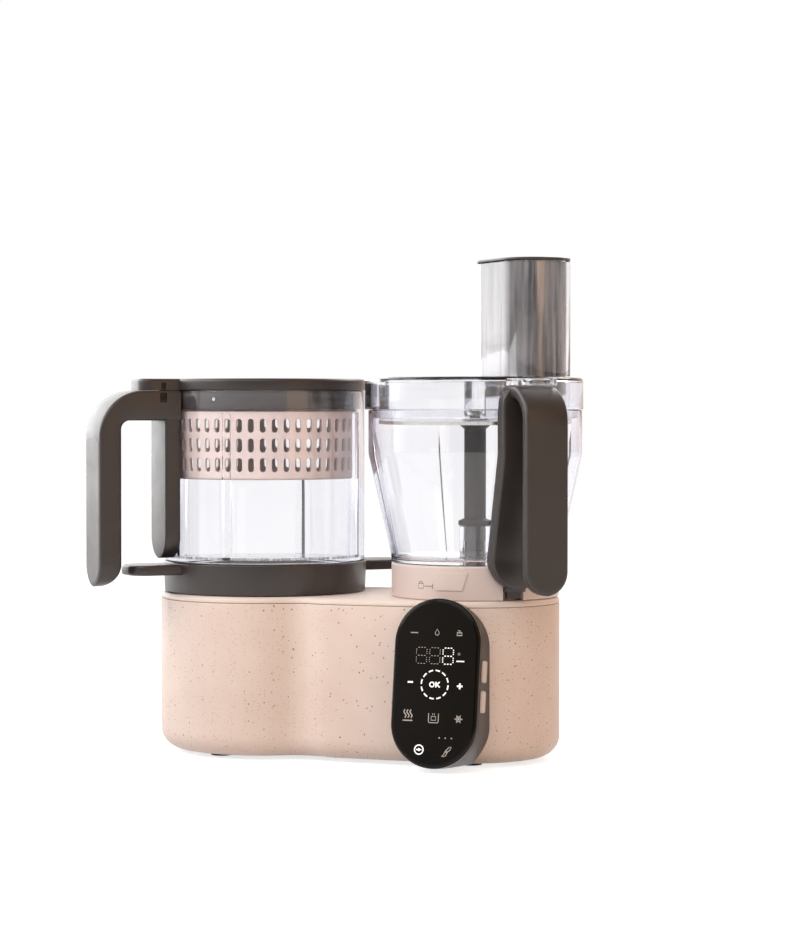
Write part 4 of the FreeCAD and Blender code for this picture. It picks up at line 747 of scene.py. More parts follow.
# %% Bright marks: a digit, the dashed ring with OK, minus and plus, and the power sign
bright = digit_eight(9.5, 20.5, 0.85)
bright += [stroke(circle(0, -1.0, 10.6, start, start + 19.0, 6), 1.05)
           for start in 30.0 * np.arange(12) + 10.0]
bright += [ring(-2.2, -1.0, 1.7, 0.95, 20), ring(-10.0, -49.8, 3.4, 0.9, 36),
           ring(-10.0, -49.8, 0.7, 0.8, 12)]
bright += [bar(*ends) for ends in (
    (16.2, 16.9, 22.4, 16.9, 0.9), (1.0, -3.1, 1.0, 1.1, 1.0), (1.2, -1.2, 3.9, 1.0, 1.0),
    (1.7, -0.9, 4.0, -3.0, 1.0), (-21.5, 0.3, -17.2, 0.3, 1.3), (17.6, -1.6, 22.0, -1.6, 1.3),
    (19.8, -3.8, 19.8, 0.6, 1.3), (-12.2, -49.8, -7.8, -49.8, 0.8))]
print(len(bright), "bright strokes")

# %% Dim marks: two digits, steam, vessel, snowflake, knife, drop and small signs
wave = np.linspace(0, 1, 14)
dim = digit_eight(-11.5, 20.5, 0.45) + digit_eight(-1.0, 20.5, 0.45)
dim += [stroke(np.column_stack([column + 0.9 * np.sin(wave * 2 * math.pi), -26.4 + 6.0 * wave]), 0.9)
        for column in (-22.4, -20.0, -17.6)]
dim += [ring(18.0, 22.3, 0.8, 0.35, 16), ring(11.6, -50.6, 0.6, 0.5, 10)]
dim += [ring(column, -40.5, 0.3, 0.6, 9) for column in (5.6, 10.4, 15.2)]
dim += [bar(*ends) for ends in (
    (-24.0, -28.4, -16.2, -28.4, 0.9), (-0.4, -23.8, -0.4, -22.4, 0.5), (1.0, -23.8, 1.0, -22.4, 0.5),
    (-21.0, 37.4, -15.2, 37.4, 0.7), (16.2, 39.8, 18.6, 39.4, 0.6))]
dim += [stroke([(20.0 - dx, -26.0 - dy), (20.0 + dx, -26.0 + dy)], 0.6)
        for dx, dy in circle(0, 0, 3.2, 0, 120, 3)]
dim += [stroke(line, width, closed) for line, width, closed in (
    ([(-3.6, -22.4), (-3.6, -28.6), (-3.0, -29.4), (3.6, -29.4), (4.2, -28.6), (4.2, -22.4)], 0.6, False),
    ([(-1.5, -27.6), (2.1, -27.6), (2.1, -24.8), (-1.5, -24.8)], 0.6, True),
    (circle(20.0, -26.0, 2.1, steps=7)[:-1], 0.55, True),
    ([(8.0, -54.2), (9.6, -52.8), (10.6, -50.6), (13.6, -47.2), (15.4, -46.8), (14.4, -49.4), (12.6, -50.6),
      (11.4, -53.4), (9.6, -54.2)], 0.6, True),
    ([(0.0, 40.6), (-1.6, 37.8), (-1.2, 36.4), (0.0, 35.8), (1.2, 36.4), (1.6, 37.8)], 0.5, True),
    ([(15.8, 38.2), (15.8, 36.2), (19.6, 36.2), (19.6, 38.2)], 0.8, True))]
print(len(dim), "dim strokes")

# %% Glow of the marks: a pale colour in slow clouds that also gives a little light
for name, strokes, colour, strength in (("bright_mark", bright, ink((250, 247, 240)), 0.55),
                                        ("dim_mark", dim, ink((176, 166, 156)), 0.22)):
    tree, shader, _ = new_finish(name)
    tone = clouded(tree, 120.0, colour, tuple(0.9 * part for part in colour[:3]) + (1.0,))
    feed(tree, shader, {"Base Color": tone, "Roughness": 0.3, "Emission Color": tone,
                        "Emission Strength": strength})
    make_piece("panel_" + name, [on_panel(shell) for shell in strokes], "base", "panel_gloss", finish=name)

# %% [markdown]
# ## The steamer tray and lid
# The dark tray under the jug is turned, with two flat ears to lift it by. The lid is turned as
# well, with a thumb tongue over the handle. An ear could be a bevelled box pushed into the ring,
# but its root has to follow the round wall, so each tab is a stacked outline whose inner points
# are pushed out to the wall's radius.


# %% Tabs on round walls
def pushed_out(shell, radius):
    """Points nearer to the upright axis than a radius are moved straight out to it."""
    points, faces = shell
    reach = np.hypot(points[:, 0], points[:, 1])
    scale = np.maximum(radius / np.maximum(reach, 1e-6), 1.0)
    return points * np.column_stack([scale, scale, np.ones(len(scale))]), faces


def tab(inner, outer, half_width, corner, levels, wall):
    """Flat tab on +X at (inset, height) levels: rounded at its end, its root pushed out to the wall."""
    def outline(inset):
        """Tip and root of the tab, moved inwards by inset."""
        half, tip, ease = half_width - inset, outer - inset, corner - inset
        root = np.column_stack([np.full(9, inner), np.linspace(half, -half, 11)[1:-1]])
        return np.concatenate([rounded_line([(inner, -half, 0), (tip, -half, ease), (tip, half, ease),
                                             (inner, half, 0)], 10), root])
    return pushed_out(stacked_shell(outline, levels), wall)


def block_shell(low, high, ease=0.4):
    """Box between two corners with eased upright edges."""
    half_a, half_b = (high[0] - low[0]) / 2, (high[1] - low[1]) / 2
    shell = stacked_shell(lambda inset: rounded_rectangle(half_a, half_b, 2 * ease, inset, 4),
                          edge_levels(low[2], high[2], ease, 4))
    return moved(shell, x=low[0] + half_a, y=low[1] + half_b)


def wrapped(shell, radius, turn, height):
    """Flat shell laid on an upright round wall: its x runs along the wall from an angle, its y is height."""
    points, faces = shell
    return swept_round(math.radians(turn) + points[:, 0] / radius, radius, height + points[:, 1]), faces


# %% Tray with two ears
HANDLE_TURN = 225.0
tray_shells = [turned_shell([
    (53, 129.9, 0), (76, 129.9, 0), (76, 127.3, 0), (80, 127.3, 1.2), (81, 151.6, 1.4), (78, 151.6, 1.0),
    (77, 132.4, 3.0), (53, 132.4, 0)])]
ear = tab(inner=77.5, outer=118.0, half_width=20.0, corner=14.0, levels=edge_levels(142.1, 150.1, 2.0),
          wall=79.8)
tray_shells += [moved(ear, turn) for turn in (HANDLE_TURN, HANDLE_TURN - 180)]
make_piece("tray_moulding", tray_shells, "tray", "dark_plastic", ["steam_tray", "tray_floor"], x=STEAMER_X)

# %% Lid with its tongue and latch tooth, a painted shadow for the notch of its latch, and its vent with a painted shade ring
LID_EDGE, LID_FACE = 286.7, 295.7
VENT_TURN, VENT_Z, SKIRT_FACE = -98.0, 279.5, 76.6
tongue = tab(inner=77.0, outer=110.0, half_width=15.5, corner=9.0,
             levels=edge_levels(LID_EDGE, LID_FACE, 2.5, 6, both=False), wall=78.6)
tooth = block_shell((81.7, -5, 279.2), (88.2, 5, 287.5))
lid_shells = [turned_shell([
    (0, 292.7, 0), (73.5, 292.7, 2), (73.5, 271.7, 0.6), (76.5, 271.7, 0.6), (76.5, LID_EDGE, 0),
    (80, LID_EDGE, 0.8), (80, LID_FACE, 2.5), (0, LID_FACE, 0)], closed=False)]
lid_shells += [moved(tongue, HANDLE_TURN), moved(tooth, HANDLE_TURN)]
make_piece("lid_moulding", lid_shells, "steamer_cap", "dark_plastic", ["steamer_lid", "lid_skirt"],
           x=STEAMER_X)
# A thin black plate on the tongue's side stands for the dark latch notch at its root: painted shadow, not a
# cut.
painted_notch_shadow = block_shell((89.5, 14.8, 286.8), (93.5, 15.56, 292.6), 0.15)
make_piece("painted_notch_shadow", [painted_notch_shadow], "steamer_cap", "panel_gloss", x=STEAMER_X, turn=HANDLE_TURN)
# The vent is two flat strokes on the skirt: a black ring that is painted shade of the vent hole, round a
# steel pin.
for name, radius, width, slot in (("lid_vent_shade_ring", 2.1, 1.0, "panel_gloss"),
                                  ("lid_vent_pin", 0.75, 1.5, "steel")):
    vent = wrapped(ring(0, 0, radius, width), SKIRT_FACE, VENT_TURN, VENT_Z)
    make_piece(name, [vent], "steamer_cap", slot, x=STEAMER_X)

# %% [markdown]
# ## The clear jug
# The jug is a thin clear tube with four ribs inside that carry the basket. A rib could be a
# separate bar, but two clear solids that touch show a false dark joint, so the ribs are part of
# the turned wall: near each rib's angle the inner radius is smaller.


# %% Jug wall with ribs
def rib_turns(first, reach, ease):
    """Angles every 2 degrees, and more at four ribs a quarter turn apart, from the first one's angle."""
    edges = np.array([-reach - ease, -reach, -reach / 2, 0, reach / 2, reach, reach + ease])
    edges = np.add.outer(first + 90.0 * np.arange(4), edges).ravel() % 360
    return np.radians(np.unique(np.concatenate([np.arange(0, 360, 2.0), edges]).round(4)))


def on_ribs(turn, first, reach):
    """True for angles within the reach of one of four ribs."""
    return np.abs((np.degrees(turn) - first + 45) % 90 - 45) < reach + 0.01


JUG_INNER, JUG_OUTER, JUG_TOP, JUG_SPIGOT, JUG_LEDGE = 77.0, 79.5, 286.4, 74.6, 154.9
JUG_RIB_FOOT, BASKET_SEAT, JUG_RIB_TOP = 157.2, 216.7, 268.3
RIB_BELOW_SEAT, RIB_ABOVE_SEAT, JUG_RIB_HALF = 7.0, 2.3, 3.0
jug_rib_reach = math.degrees(math.asin(JUG_RIB_HALF / JUG_INNER))


def jug_ribbed(turn, radius, height):
    """Inner wall radius less the rib height: large up to the basket's seat, small beside the basket,
    and none below the ribs, above them or on the outer wall."""
    tall = np.select([height < JUG_RIB_FOOT, height <= BASKET_SEAT, height <= JUG_RIB_TOP],
                     [0.0, RIB_BELOW_SEAT, RIB_ABOVE_SEAT])
    return radius - on_ribs(turn, 0, jug_rib_reach) * (np.abs(radius - JUG_INNER) < 0.01) * tall


jug_corners = [(JUG_SPIGOT, 143.6, 0.5), (JUG_INNER, 143.6, 0.5), (JUG_INNER, 151.9, 0),
               (JUG_OUTER, 151.9, 1.0), (JUG_OUTER, JUG_TOP, 0.8), (JUG_INNER, JUG_TOP, 0.8)]
jug_corners += [(JUG_INNER, height, 0) for height in (
    JUG_RIB_TOP + 0.7, JUG_RIB_TOP, BASKET_SEAT + 0.4, BASKET_SEAT, JUG_RIB_FOOT, JUG_LEDGE)]
jug_corners += [(JUG_SPIGOT, JUG_LEDGE, 0)]
jug_wall = turned_shell(jug_corners, rib_turns(0, jug_rib_reach, 0.25), swell=jug_ribbed)
make_piece("jug_wall", [jug_wall], "jug", "clear_plastic", ["steamer_jug", "jug_foot"], x=STEAMER_X)

# %% [markdown]
# ## The steam basket
# The pale basket hangs in the jug, its wall pierced by three rows of upright slots. Slots could
# be cut with a Boolean, which leaves long thin triangles. Here the wall is tiled: each tile is
# a small frame between a slot and its cell border, all tiles are one array, and neighbouring
# borders share their points, so the wall is one closed skin with real holes.

# %% Cell borders and stadium slots
SLOT_COLUMNS, SLOT_ROWS, ROW_PITCH, TOP_ROW = 50, 3, 15.2, 258.9
SLOT_HALF, SLOT_STRAIGHT, SLOT_EASE = 2.3, 3.1, 0.25
BASKET_FOOT, BASKET_RIM, BASKET_WALL = 217.0, 270.0, 2.0
BASKET_LOW_RADIUS, BASKET_FLARE, SLOT_RADIUS = 72.5, 1.5, 73.3
side, one = np.linspace(-1, 1, 5)[:-1], np.ones(4)
border = np.column_stack([np.concatenate([side, one, -side, -one]), np.concatenate([-one, side, one, -side])])
cell_turn = 2 * math.pi / SLOT_COLUMNS
print(SLOT_COLUMNS * SLOT_ROWS, "slots")


def slot_edge(directions, grow):
    """Where rays from the slot's middle leave a stadium: on its straight side if the ray meets that
    first, and otherwise on the round end, from the quadratic of a ray and a circle."""
    half = SLOT_HALF + grow
    unit = directions / np.linalg.norm(directions, axis=1, keepdims=True)
    side_reach = half / np.maximum(np.abs(unit[:, 0]), 1e-9)
    lift = SLOT_STRAIGHT * np.abs(unit[:, 1])
    end_reach = lift + np.sqrt(np.maximum(lift ** 2 - SLOT_STRAIGHT ** 2 + half ** 2, 0))
    reach = np.where(side_reach * np.abs(unit[:, 1]) <= SLOT_STRAIGHT, side_reach, end_reach)
    return unit * reach[:, None]


def basket_radius(height):
    """Outer wall radius, which grows evenly from floor to rim."""
    return BASKET_LOW_RADIUS + BASKET_FLARE * (height - BASKET_FOOT) / (BASKET_RIM - BASKET_FOOT)


# %% Tiles carried round the wall
cell_half = np.array([math.pi * SLOT_RADIUS / SLOT_COLUMNS, ROW_PITCH / 2])
rays = border * np.array([3.4, 6.6])
edge, eased_edge = [slot_edge(rays, grow) for grow in (0.0, SLOT_EASE)]
rims = np.stack([border * cell_half, eased_edge, edge, edge, border * cell_half])
depths = np.array([0.0, 0.0, SLOT_EASE, BASKET_WALL, BASKET_WALL])[:, None]
columns = (np.arange(SLOT_COLUMNS) + 0.5) * cell_turn
rows = TOP_ROW - ROW_PITCH * np.arange(SLOT_ROWS)
tile_turn = columns[:, None, None, None] + rims[:, :, 0] / cell_half[0] * cell_turn / 2
tile_height = rows[:, None, None] + rims[:, :, 1]
tile_points = swept_round(tile_turn, basket_radius(tile_height) - depths, tile_height)
basket_shells = [grid_shell(tile, False, True) for tile in tile_points.reshape(-1, *rims.shape[:2], 3)]
print(len(basket_shells), "tiles")

# %% Rim, floor and underside of the basket
wall_top, wall_low = TOP_ROW + ROW_PITCH / 2, rows[-1] - ROW_PITCH / 2
top_radius, low_radius, rim_radius = [basket_radius(height) for height in (wall_top, wall_low, BASKET_RIM)]
rim_line = [(top_radius, wall_top, 0), (rim_radius, BASKET_RIM, 0.6), (70.8, BASKET_RIM, 0.6),
            (70.8, 267.6, 0.4), (top_radius - BASKET_WALL, wall_top, 0)]
floor_line = [(0, 219.0, 0), (70.4, 219.0, 1.2), (low_radius - BASKET_WALL, wall_low, 0)]
under_line = [(0, BASKET_FOOT, 0), (BASKET_LOW_RADIUS, BASKET_FOOT, 2.0), (low_radius, wall_low, 0)]
basket_shells += [turned_shell(line, np.arange(SLOT_COLUMNS * 4) * cell_turn / 4, closed=False)
                  for line in (rim_line, floor_line, under_line)]
make_piece("slotted_basket", basket_shells, "basket", "pink_plastic", ["steam_basket"], x=STEAMER_X)

# %% [markdown]
# ## The handles
# Both handles are an upside-down U: an arm, a bend and a broad strap with a half-round end, and
# a slim leg on the vessel. A curve with a bevel would keep one section all the way, but the arm
# is deeper than the strap. So two lines, one inside and one outside, run side by side, and at
# each step a rounded rectangle fills the space between them; its width shrinks to a half round.

# %% Sections between two lines
CORNER_STEPS = 6
section_turn = np.add.outer(np.arange(4), np.linspace(0, 1, CORNER_STEPS)).ravel() * math.pi / 2
section_out = np.repeat([1, -1, -1, 1], CORNER_STEPS)
section_side = np.repeat([1, 1, -1, -1], CORNER_STEPS)
print(len(section_turn), "points in a section")


def bar_between(inner, outer, half_width, round_edge):
    """Bar filled between two lines in the XZ plane: at each step the middle plus the half depth
    along the line from inner to outer, and the half width along Y, with quarter-round corners."""
    middle, across = (inner + outer) / 2, (outer - inner) / 2
    half_depth = np.linalg.norm(across, axis=1)
    across = across / half_depth[:, None]
    edge = np.minimum(round_edge, np.minimum(half_depth, half_width) * 0.95)[:, None]
    out = section_out * (half_depth[:, None] - edge) + edge * np.cos(section_turn)
    along_y = section_side * (half_width[:, None] - edge) + edge * np.sin(section_turn)
    x, z = [middle[:, [axis]] + across[:, [axis]] * out for axis in (0, 1)]
    return grid_shell(np.stack([x, along_y, z], -1), False, True, True)


# %% Arms and straps
STRAP_EDGE = 2.6
ARM_STEPS, BEND_STEPS, DROP_STEPS, TIP_STEPS = 8, 18, 14, 14
tip_turn = np.linspace(0, math.pi / 2 * 0.985, TIP_STEPS)[1:]


def strap_line(start, reach, arm, bend, low, width):
    """Line of an arm, a bend and a drop: straight out at the arm's height, a quarter circle, straight
    down, then to the tip at steps that follow the sine of the half-round end."""
    angle = np.linspace(0, math.pi / 2, BEND_STEPS)
    out = np.linspace(start, reach - bend, ARM_STEPS, endpoint=False)
    down = np.linspace(arm - bend, low + width / 2, DROP_STEPS)[1:]
    x = np.concatenate([out, reach - bend + bend * np.sin(angle), np.full(len(down) + len(tip_turn), reach)])
    z = np.concatenate([np.full(ARM_STEPS, arm), arm - bend + bend * np.cos(angle), down,
                        low + width / 2 * (1 - np.sin(tip_turn))])
    return np.column_stack([x, z])


def strap(start, inner, outer, arm_low, arm_high, low, width, inner_bend, bend, heel=0.0):
    """Arm and strap of a handle; the half width falls as a cosine over the half-round end. The heel is
    how far the inner face rounds towards the outer one there, along a quarter of an ellipse."""
    inside = strap_line(start, inner, arm_low, inner_bend, low, width)
    outside = strap_line(start, outer, arm_high, bend, low, width)
    half = np.full(len(inside), width / 2)
    half[-len(tip_turn):] *= np.cos(tip_turn)
    inside[-len(tip_turn):, 0] += heel * (1 - np.cos(tip_turn))
    return bar_between(inside, outside, half, STRAP_EDGE)


# %% Legs
LEG_EDGE = 2.0


def foot_steps(half_width):
    """Heights over a half-round foot, close together at its tip: half width times 1 - cos."""
    return half_width * (1 - np.cos(np.linspace(0.05, math.pi / 2, 16)))


def leg(inner, outer, heights, half_width, shoulder=0.0):
    """Leg between two radii at heights from its foot up. The foot is a half round of the leg's own
    width, and the shoulders at the top are quarter circles."""
    rise = heights - heights[0]
    half = half_width * np.sqrt(np.clip(1 - np.clip(1 - rise / half_width, 0, 1) ** 2, 0.0004, 1))
    into = np.clip(shoulder - (heights[-1] - heights), 0, shoulder)
    half = half - shoulder + np.sqrt(shoulder ** 2 - into ** 2)
    inside, outside = [np.column_stack([radius + 0 * heights, heights]) for radius in (inner, outer)]
    return bar_between(inside, outside, half, LEG_EDGE)


# %% Steamer handle
STEAMER_LEG_HALF, STEAMER_LEG_FOOT, GRIP_GAP = 17.5, 154.9, 0.15
leg_heights = np.concatenate([STEAMER_LEG_FOOT + foot_steps(STEAMER_LEG_HALF), np.linspace(175, 272, 16)])
steamer_grip = [strap(start=78.0, inner=126.5, outer=144.5, arm_low=263.0, arm_high=JUG_TOP, low=134.0,
                      width=36.0, inner_bend=7.0, bend=36.0, heel=13.5),
                leg(inner=78.0, outer=90.5, heights=leg_heights, half_width=STEAMER_LEG_HALF)]
steamer_grip = [pushed_out(shell, JUG_OUTER + GRIP_GAP) for shell in steamer_grip]
make_piece("steamer_grip", steamer_grip, "jug", "dark_plastic", ["steamer_handle", "steamer_handle_screws"],
           x=STEAMER_X, turn=HANDLE_TURN)
# A thin black plate on the side of the arm is painted shadow of the latch gap under the lid's tongue.
painted_gap_shadow = block_shell((89.5, 17.2, 277.0), (95.4, 18.06, 284.6), 0.15)
make_piece("painted_gap_shadow", [painted_gap_shadow], "jug", "panel_gloss", x=STEAMER_X, turn=HANDLE_TURN)

# %% [markdown]
# ## The twist-lock collar
# A pale ring turns on the base to lock the bowl, and is notched under the handle. A notch could
# be cut out, but the ring is a profile carried round an arc anyway, so the arc simply stops on
# both sides of the notch. A raised slanted pad shows which way to turn it.

# %% Collar, its web and the turning pad
GRIP_TURN = -45.0
COLLAR_FACE, COLLAR_MIDDLE, NOTCH_HALF, MARK_WIDTH = 65, 62.5, 8.3, 0.6
notch = math.degrees(math.asin(NOTCH_HALF / COLLAR_MIDDLE))
collar_wall = rounded_line([(60.4, 127.3, 0.3), (COLLAR_FACE, 127.3, 0.8), (COLLAR_FACE, 153, 1.5),
                            (60.4, 153, 0.6)])
turning_pad = [(65.0, 134.6), (65.9, 135.0), (65.9, 147.8), (65.0, 148.2), (64.5, 148.2), (64.5, 147.8),
               (64.5, 135.0), (64.5, 134.6)]
collar_shells = [arc_shell(collar_wall, GRIP_TURN + notch, GRIP_TURN + 360 - notch, 170),
                 turned_shell([(30, 135, 0), (60.6, 135, 0), (60.6, 138, 0), (30, 138, 0)]),
                 arc_shell(turning_pad, -97.0, -78.5, lean=0.28)]
make_piece("twist_collar", collar_shells, "collar", "pink_plastic", ["bowl_collar"], x=PROCESSOR_X)
# The lock icon is raised on the real collar; these flat strokes in a darker pink are painted shade of its
# relief.
lock_icon_shade = [stroke([(0, 0), (5, 0), (5, 3.6), (0, 3.6)], MARK_WIDTH, True),
             stroke(circle(2.5, 3.6, 1.6, 0, 180), MARK_WIDTH),
             stroke([(step, 1.8) for step in range(6, 14)], MARK_WIDTH),
             bar(13.3, -0.2, 13.3, 3.8, MARK_WIDTH)]
make_piece("lock_icon_shade", [wrapped(shell, COLLAR_FACE + 0.06, -113.0, 136.0) for shell in lock_icon_shade], "collar",
           "pink_plastic", x=PROCESSOR_X, finish="painted_emboss_shade")

# %% [markdown]
# ## The clear bowl
# The bowl is turned from one closed profile, spigot, straight foot, soft taper, rim and centre
# tube together, because one skin of even thickness bends light the way a real moulding does.
# Four slim ribs run up inside; like the jug's, they are a smaller inner radius near four angles.

# %% Bowl with ribs
BOWL_FOOT, FOOT_INNER, BOWL_RIM, RIM_INNER = 65.4, 62.8, 83, 80.4
TAPER_LOW, TAPER_HIGH, TAPER_ROUND = 158.3, 237.3, 22
BOWL_TOP, BOWL_FLOOR = 271.3, 153.3
BOWL_RIB_TURN, BOWL_RIB_HALF, BOWL_RIB_HEIGHT = -142.0, 1.9, 3.0
BOWL_RIB_FOOT, BOWL_RIB_TOP, FADE_IN, FADE_OUT = 160.0, 253.0, 4.0, 6.0


def bowl_ribbed(turn, radius, height):
    """Inner wall radius less a rib, which fades in and out evenly over a few millimetres at its ends.
    The inner wall is what lies within 1.2 mm of a straight taper."""
    wall = np.interp(height, [TAPER_LOW, TAPER_HIGH], [FOOT_INNER, RIM_INNER])
    on_wall = np.abs(radius - wall) < 1.2
    fade_in = np.clip((height - BOWL_RIB_FOOT) / FADE_IN, 0, 1)
    fade_out = np.clip((BOWL_RIB_TOP - height) / FADE_OUT, 0, 1)
    tall = on_wall * fade_in * fade_out * BOWL_RIB_HEIGHT
    return radius - on_ribs(turn, BOWL_RIB_TURN, BOWL_RIB_HALF) * tall


bowl_wall = turned_shell([
    (8.58, 182.3, 0), (8.58, BOWL_FLOOR, 0), (57, BOWL_FLOOR, 0), (57, 141.3, 0), (60, 141.3, 0.8),
    (60, BOWL_FLOOR, 0), (BOWL_FOOT, BOWL_FLOOR, 1.2), (BOWL_FOOT, TAPER_LOW, TAPER_ROUND),
    (BOWL_RIM, TAPER_HIGH, TAPER_ROUND), (BOWL_RIM, BOWL_TOP, 0.8), (RIM_INNER, BOWL_TOP, 0.8),
    (RIM_INNER, 254.0, 0), (RIM_INNER, TAPER_HIGH, TAPER_ROUND), (63.6, 161.9, 0), (FOOT_INNER, 156.3, 3),
    (11.98, 156.3, 2), (11.98, 182.3, 0.8)],
    rib_turns(BOWL_RIB_TURN, BOWL_RIB_HALF, 0.5), swell=bowl_ribbed, steps=9)
make_piece("bowl_wall", [bowl_wall], "bowl", "clear_plastic", ["processor_bowl"], x=PROCESSOR_X)

# %% Processor handle: its leg follows the bowl's taper, and its hollow toe holds the plunger
LEG_HALF, LEG_TOP, LEG_DEPTH, SHOULDER = 23.0, 288.0, 10.0, 12.0
TOE_LOW, TOE_CEILING, TOE_HIGH = 134, 146.8, 150.3
BOWL_GAP, LID_CLEAR = 0.12, 84.4
shoulder_drop = SHOULDER * (1 - np.sin(np.linspace(0, 0.49 * math.pi, 10)))
heights = np.concatenate([136.0 + foot_steps(LEG_HALF), np.linspace(161, 274, 30), LEG_TOP - shoulder_drop])
bowl_line = rounded_line([(BOWL_FOOT, 130, 0), (BOWL_FOOT, TAPER_LOW, TAPER_ROUND),
                          (BOWL_RIM, TAPER_HIGH, TAPER_ROUND), (BOWL_RIM, 290, 0)], 12, closed=False)


def bowl_radius(height):
    """Outer radius of the bowl at a height, carried straight up past its rim."""
    return np.interp(height, bowl_line[:, 1], bowl_line[:, 0])


def bowl_outside(height):
    """Radius that the grip keeps clear of: just outside the bowl, and outside the lid above it."""
    return np.where(height > BOWL_TOP - 0.3, LID_CLEAR, bowl_radius(height) + BOWL_GAP)


leg_inner = bowl_outside(heights) - np.where(heights < 151, 0.3, 1.5)
grip_shells = [leg(leg_inner, bowl_radius(heights) + LEG_DEPTH, heights, LEG_HALF, SHOULDER),
               strap(start=82.0, inner=111.0, outer=120.0, arm_low=280.0, arm_high=289.0, low=134.0,
                     width=35.0, inner_bend=17.0, bend=27.0)]
grip_shells = [pushed_out(shell, bowl_outside(shell[0][:, 2])) for shell in grip_shells]
toe_walls = [(60.7, 61.7, -8, 8, TOE_LOW), (64.9, 69.4, -8, 8, TOE_LOW), (61.5, 65.1, -8, -5.7, TOE_LOW),
             (61.5, 65.1, 5.7, 8, TOE_LOW), (61.5, 65.1, -6, 6, TOE_CEILING)]
grip_shells += [block_shell((inner, left, low), (outer, right, TOE_HIGH), 0.2)
                for inner, outer, left, right, low in toe_walls]
make_piece("processor_grip", grip_shells, "bowl", "dark_plastic",
           ["processor_handle", "processor_handle_screws"], x=PROCESSOR_X, turn=GRIP_TURN)

# %% Spindle
SPINDLE = 8.5
spindle_shells = [turned_shell([
    (0, 170.6, 0), (SPINDLE, 170.6, 0), (SPINDLE, 182.6, 0), (13, 182.6, 0.4), (13, 186.1, 1),
    (SPINDLE, 188.1, 0), (SPINDLE, 255.1, 0), (12, 257.6, 0.6), (12, 261.1, 0.3), (SPINDLE, 261.1, 0),
    (SPINDLE, 263.5, 0), (10.3, 263.5, 0.5), (10.3, 267.8, 1), (4, 267.8, 0), (4, 274.8, 1), (0, 274.8, 0)],
    72, closed=False)]
jaw = [(2.0, 162.6), (8.2, 162.6), (8.2, 171.0), (2.0, 171.0)]
spindle_shells += [arc_shell(jaw, middle - 25, middle + 25) for middle in (90.0, 270.0)]
make_piece("disc_post", spindle_shells, "spindle", "dark_plastic", ["disc_spindle"], x=PROCESSOR_X,
           finish="spindle_plastic")

# %% [markdown]
# ## The clear lid and its chute
# The lid is a turned band and a flat top, and the feed chute stands off its middle, so it is no
# longer a plain surface of revolution. It could be built from two solids, which would leave a
# clear plate across the chute. Instead every loop is drawn as rays from the chute's own middle:
# near it they end on the chute's outline, further out on the band's circle, and all loops join.

# %% Loops round the chute
CHUTE_OFFSET, CHUTE_TURN = 42.0, 45.0
CHUTE_HALF_DEPTH, CHUTE_HALF_WIDTH, CHUTE_CORNER = 28.0, 43.5, 24.0


def chute_outline(inset):
    """Rounded rectangle of the chute about its own middle, moved inwards by inset, with points about
    1 mm apart along its flats too, because the lid's rays pass through them."""
    corners = rounded_rectangle(CHUTE_HALF_DEPTH, CHUTE_HALF_WIDTH, CHUTE_CORNER, inset, 14)
    sides = []
    for start, end in zip(corners, np.roll(corners, -1, 0)):
        length = np.linalg.norm(end - start)
        parts = round(length) if length > 5.0 else 1
        sides.append(start + (end - start) * np.linspace(0, 1, parts, endpoint=False)[:, None])
    return np.concatenate(sides)


def band_loop(radius):
    """Where the rays from the chute's middle through its outline meet a circle about the lid's axis:
    the larger root of the quadratic for a ray that starts off the circle's middle."""
    outline = chute_outline(0)
    unit = outline / np.linalg.norm(outline, axis=1, keepdims=True)
    ahead_of = CHUTE_OFFSET * unit[:, 0]
    reach = -ahead_of + np.sqrt(ahead_of ** 2 - CHUTE_OFFSET ** 2 + radius ** 2)
    return unit * reach[:, None]


print(len(chute_outline(0)), "rays")

# %% Clear lid with its chute, its catch, the spindle's post and the lug over the grip
CHUTE_TOP, CHUTE_LOW, LID_TOP, LID_UNDER, LID_RADIUS = 386.3, 267.3, 296.3, 293.7, 83.8
CATCH_TURN, CATCH_HALF, CATCH_FADE, CATCH_SWELL = 171.0, 20.0, 3.0, 2.0
band_edge = rounded_line([
    (60, LID_TOP, 0), (LID_RADIUS, LID_TOP, 3.0), (LID_RADIUS, 271.6, 0.6), (80, 271.6, 0), (80, 264.6, 0.5),
    (77.8, 264.6, 0.5), (77.8, 274.2, 0), (81.2, 274.2, 0), (81.2, LID_UNDER, 2.0), (60, LID_UNDER, 0)],
    6, closed=False)[1:-1]
loops = loops_at(chute_outline, [
    (2.5, CHUTE_LOW), (2.5, CHUTE_TOP - 0.5), (2.0, CHUTE_TOP), (0.5, CHUTE_TOP), (0, CHUTE_TOP - 0.5),
    (0, 297.6), (-0.4, 296.6), (-1.3, LID_TOP)])
loops += loops_at(band_loop, band_edge) + loops_at(chute_outline, [(0, LID_UNDER), (0, CHUTE_LOW)])
lid_points, lid_faces = moved(grid_shell(np.array(loops)), x=CHUTE_OFFSET)
lid_reach = np.hypot(lid_points[:, 0], lid_points[:, 1])
lid_turn = np.degrees(np.arctan2(lid_points[:, 1], lid_points[:, 0])) % 360
on_catch = np.clip((CATCH_HALF - np.abs(lid_turn - CATCH_TURN)) / CATCH_FADE, 0, 1)
catch = on_catch * CATCH_SWELL * (lid_reach > LID_RADIUS - 0.8)
lid_points[:, :2] *= (1 + catch / np.maximum(lid_reach, 1.0))[:, None]
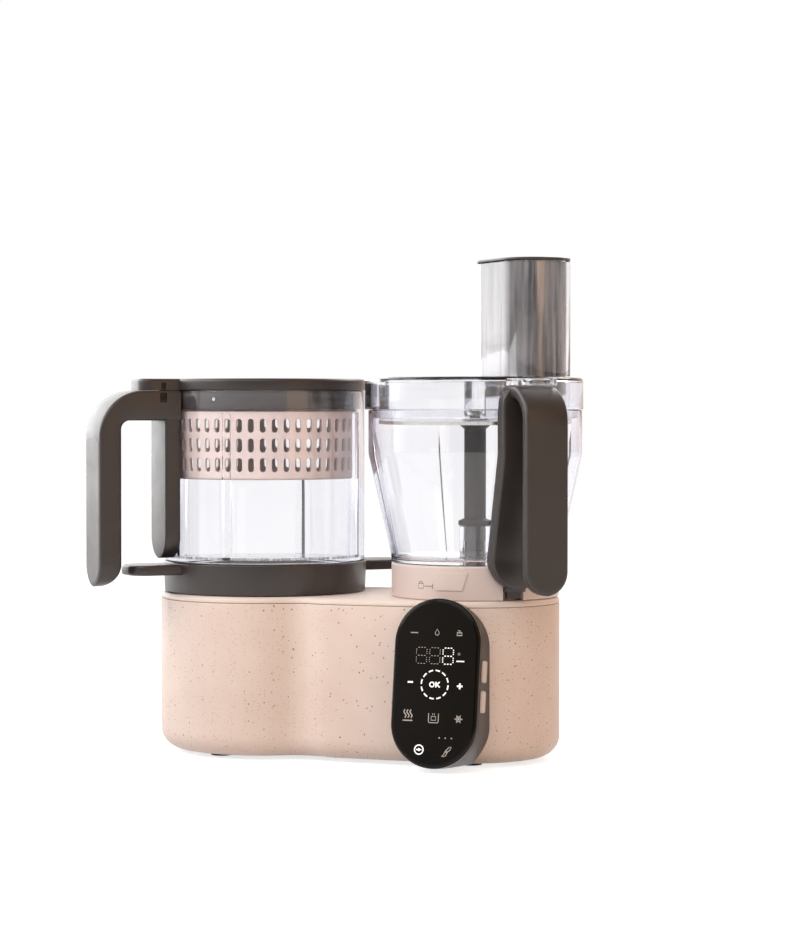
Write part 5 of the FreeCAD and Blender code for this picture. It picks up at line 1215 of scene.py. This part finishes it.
post = turned_shell([(0, 275.8, 0), (4.1, 275.8, 0), (4.1, 268.1, 0), (8.5, 268.1, 0.6), (8.5, 294.5, 0),
                     (0, 294.5, 0)], 60, closed=False)
lug = tab(inner=80.0, outer=112.0, half_width=15.0, corner=8.0, levels=edge_levels(289.3, 294.8, 0.8),
          wall=83.2)
lid_shells = [moved((lid_points, lid_faces), CHUTE_TURN), post, moved(lug, GRIP_TURN)]
make_piece("clear_lid", lid_shells, "processor_cap", "clear_plastic", ["processor_lid", "feed_chute"],
           x=PROCESSOR_X)

# %% Pusher and its cap
pusher_levels = [(5.0, 283.6), (3.6, 283.8), (3.1, 284.6), (3.0, 286.0), (3.0, 386.5)]
rim_levels = edge_levels(386.6, 388.8, 0.9)
for name, levels, node, finish in (("pusher_column", pusher_levels, "pusher_body", None),
                                   ("pusher_rim", rim_levels, "pusher_cap", "dark_plastic")):
    shell = moved(stacked_shell(chute_outline, levels), x=CHUTE_OFFSET)
    make_piece(name, [shell], "pusher", "pusher_plastic", [node], x=PROCESSOR_X, turn=CHUTE_TURN,
               finish=finish)

# %% [markdown]
# ## Small pieces and the inside
# Buttons, screws, feet, the disc and the heater keep their CAD shape: it is already right, and
# only its loose triangles are in the way. A copy of each is welded and smoothed. What stays
# hidden inside the base keeps its CAD mesh and just takes its finish.

# %% Smoothed copies
record = frame["record"]
node_body = {node: body for body, nodes in record["behaviour"]["bodies"].items() for node in nodes}
node_slot = {part["node"]: part["material_slot"] for part in record["subparts"]}
for node in ("side_button_upper", "side_button_lower", "rubber_feet", "bottom_screws", "mains_inlet",
             "inlet_pins", "heating_plate", "tray_pan", "jug_grid", "lid_seal", "steamer_handle_inlay",
             "processor_handle_inlay", "interlock_plunger", "slicing_disc", "slicing_blade", "drive_dog"):
    smoothed_copy(node, node_body[node], node_slot[node])

# %% Finishes on the CAD nodes
for node, thing in frame["nodes"].items():
    thing.data.materials.clear()
    thing.data.materials.append(finishes[node_slot[node]])
print(len(frame["nodes"]), "nodes finished")
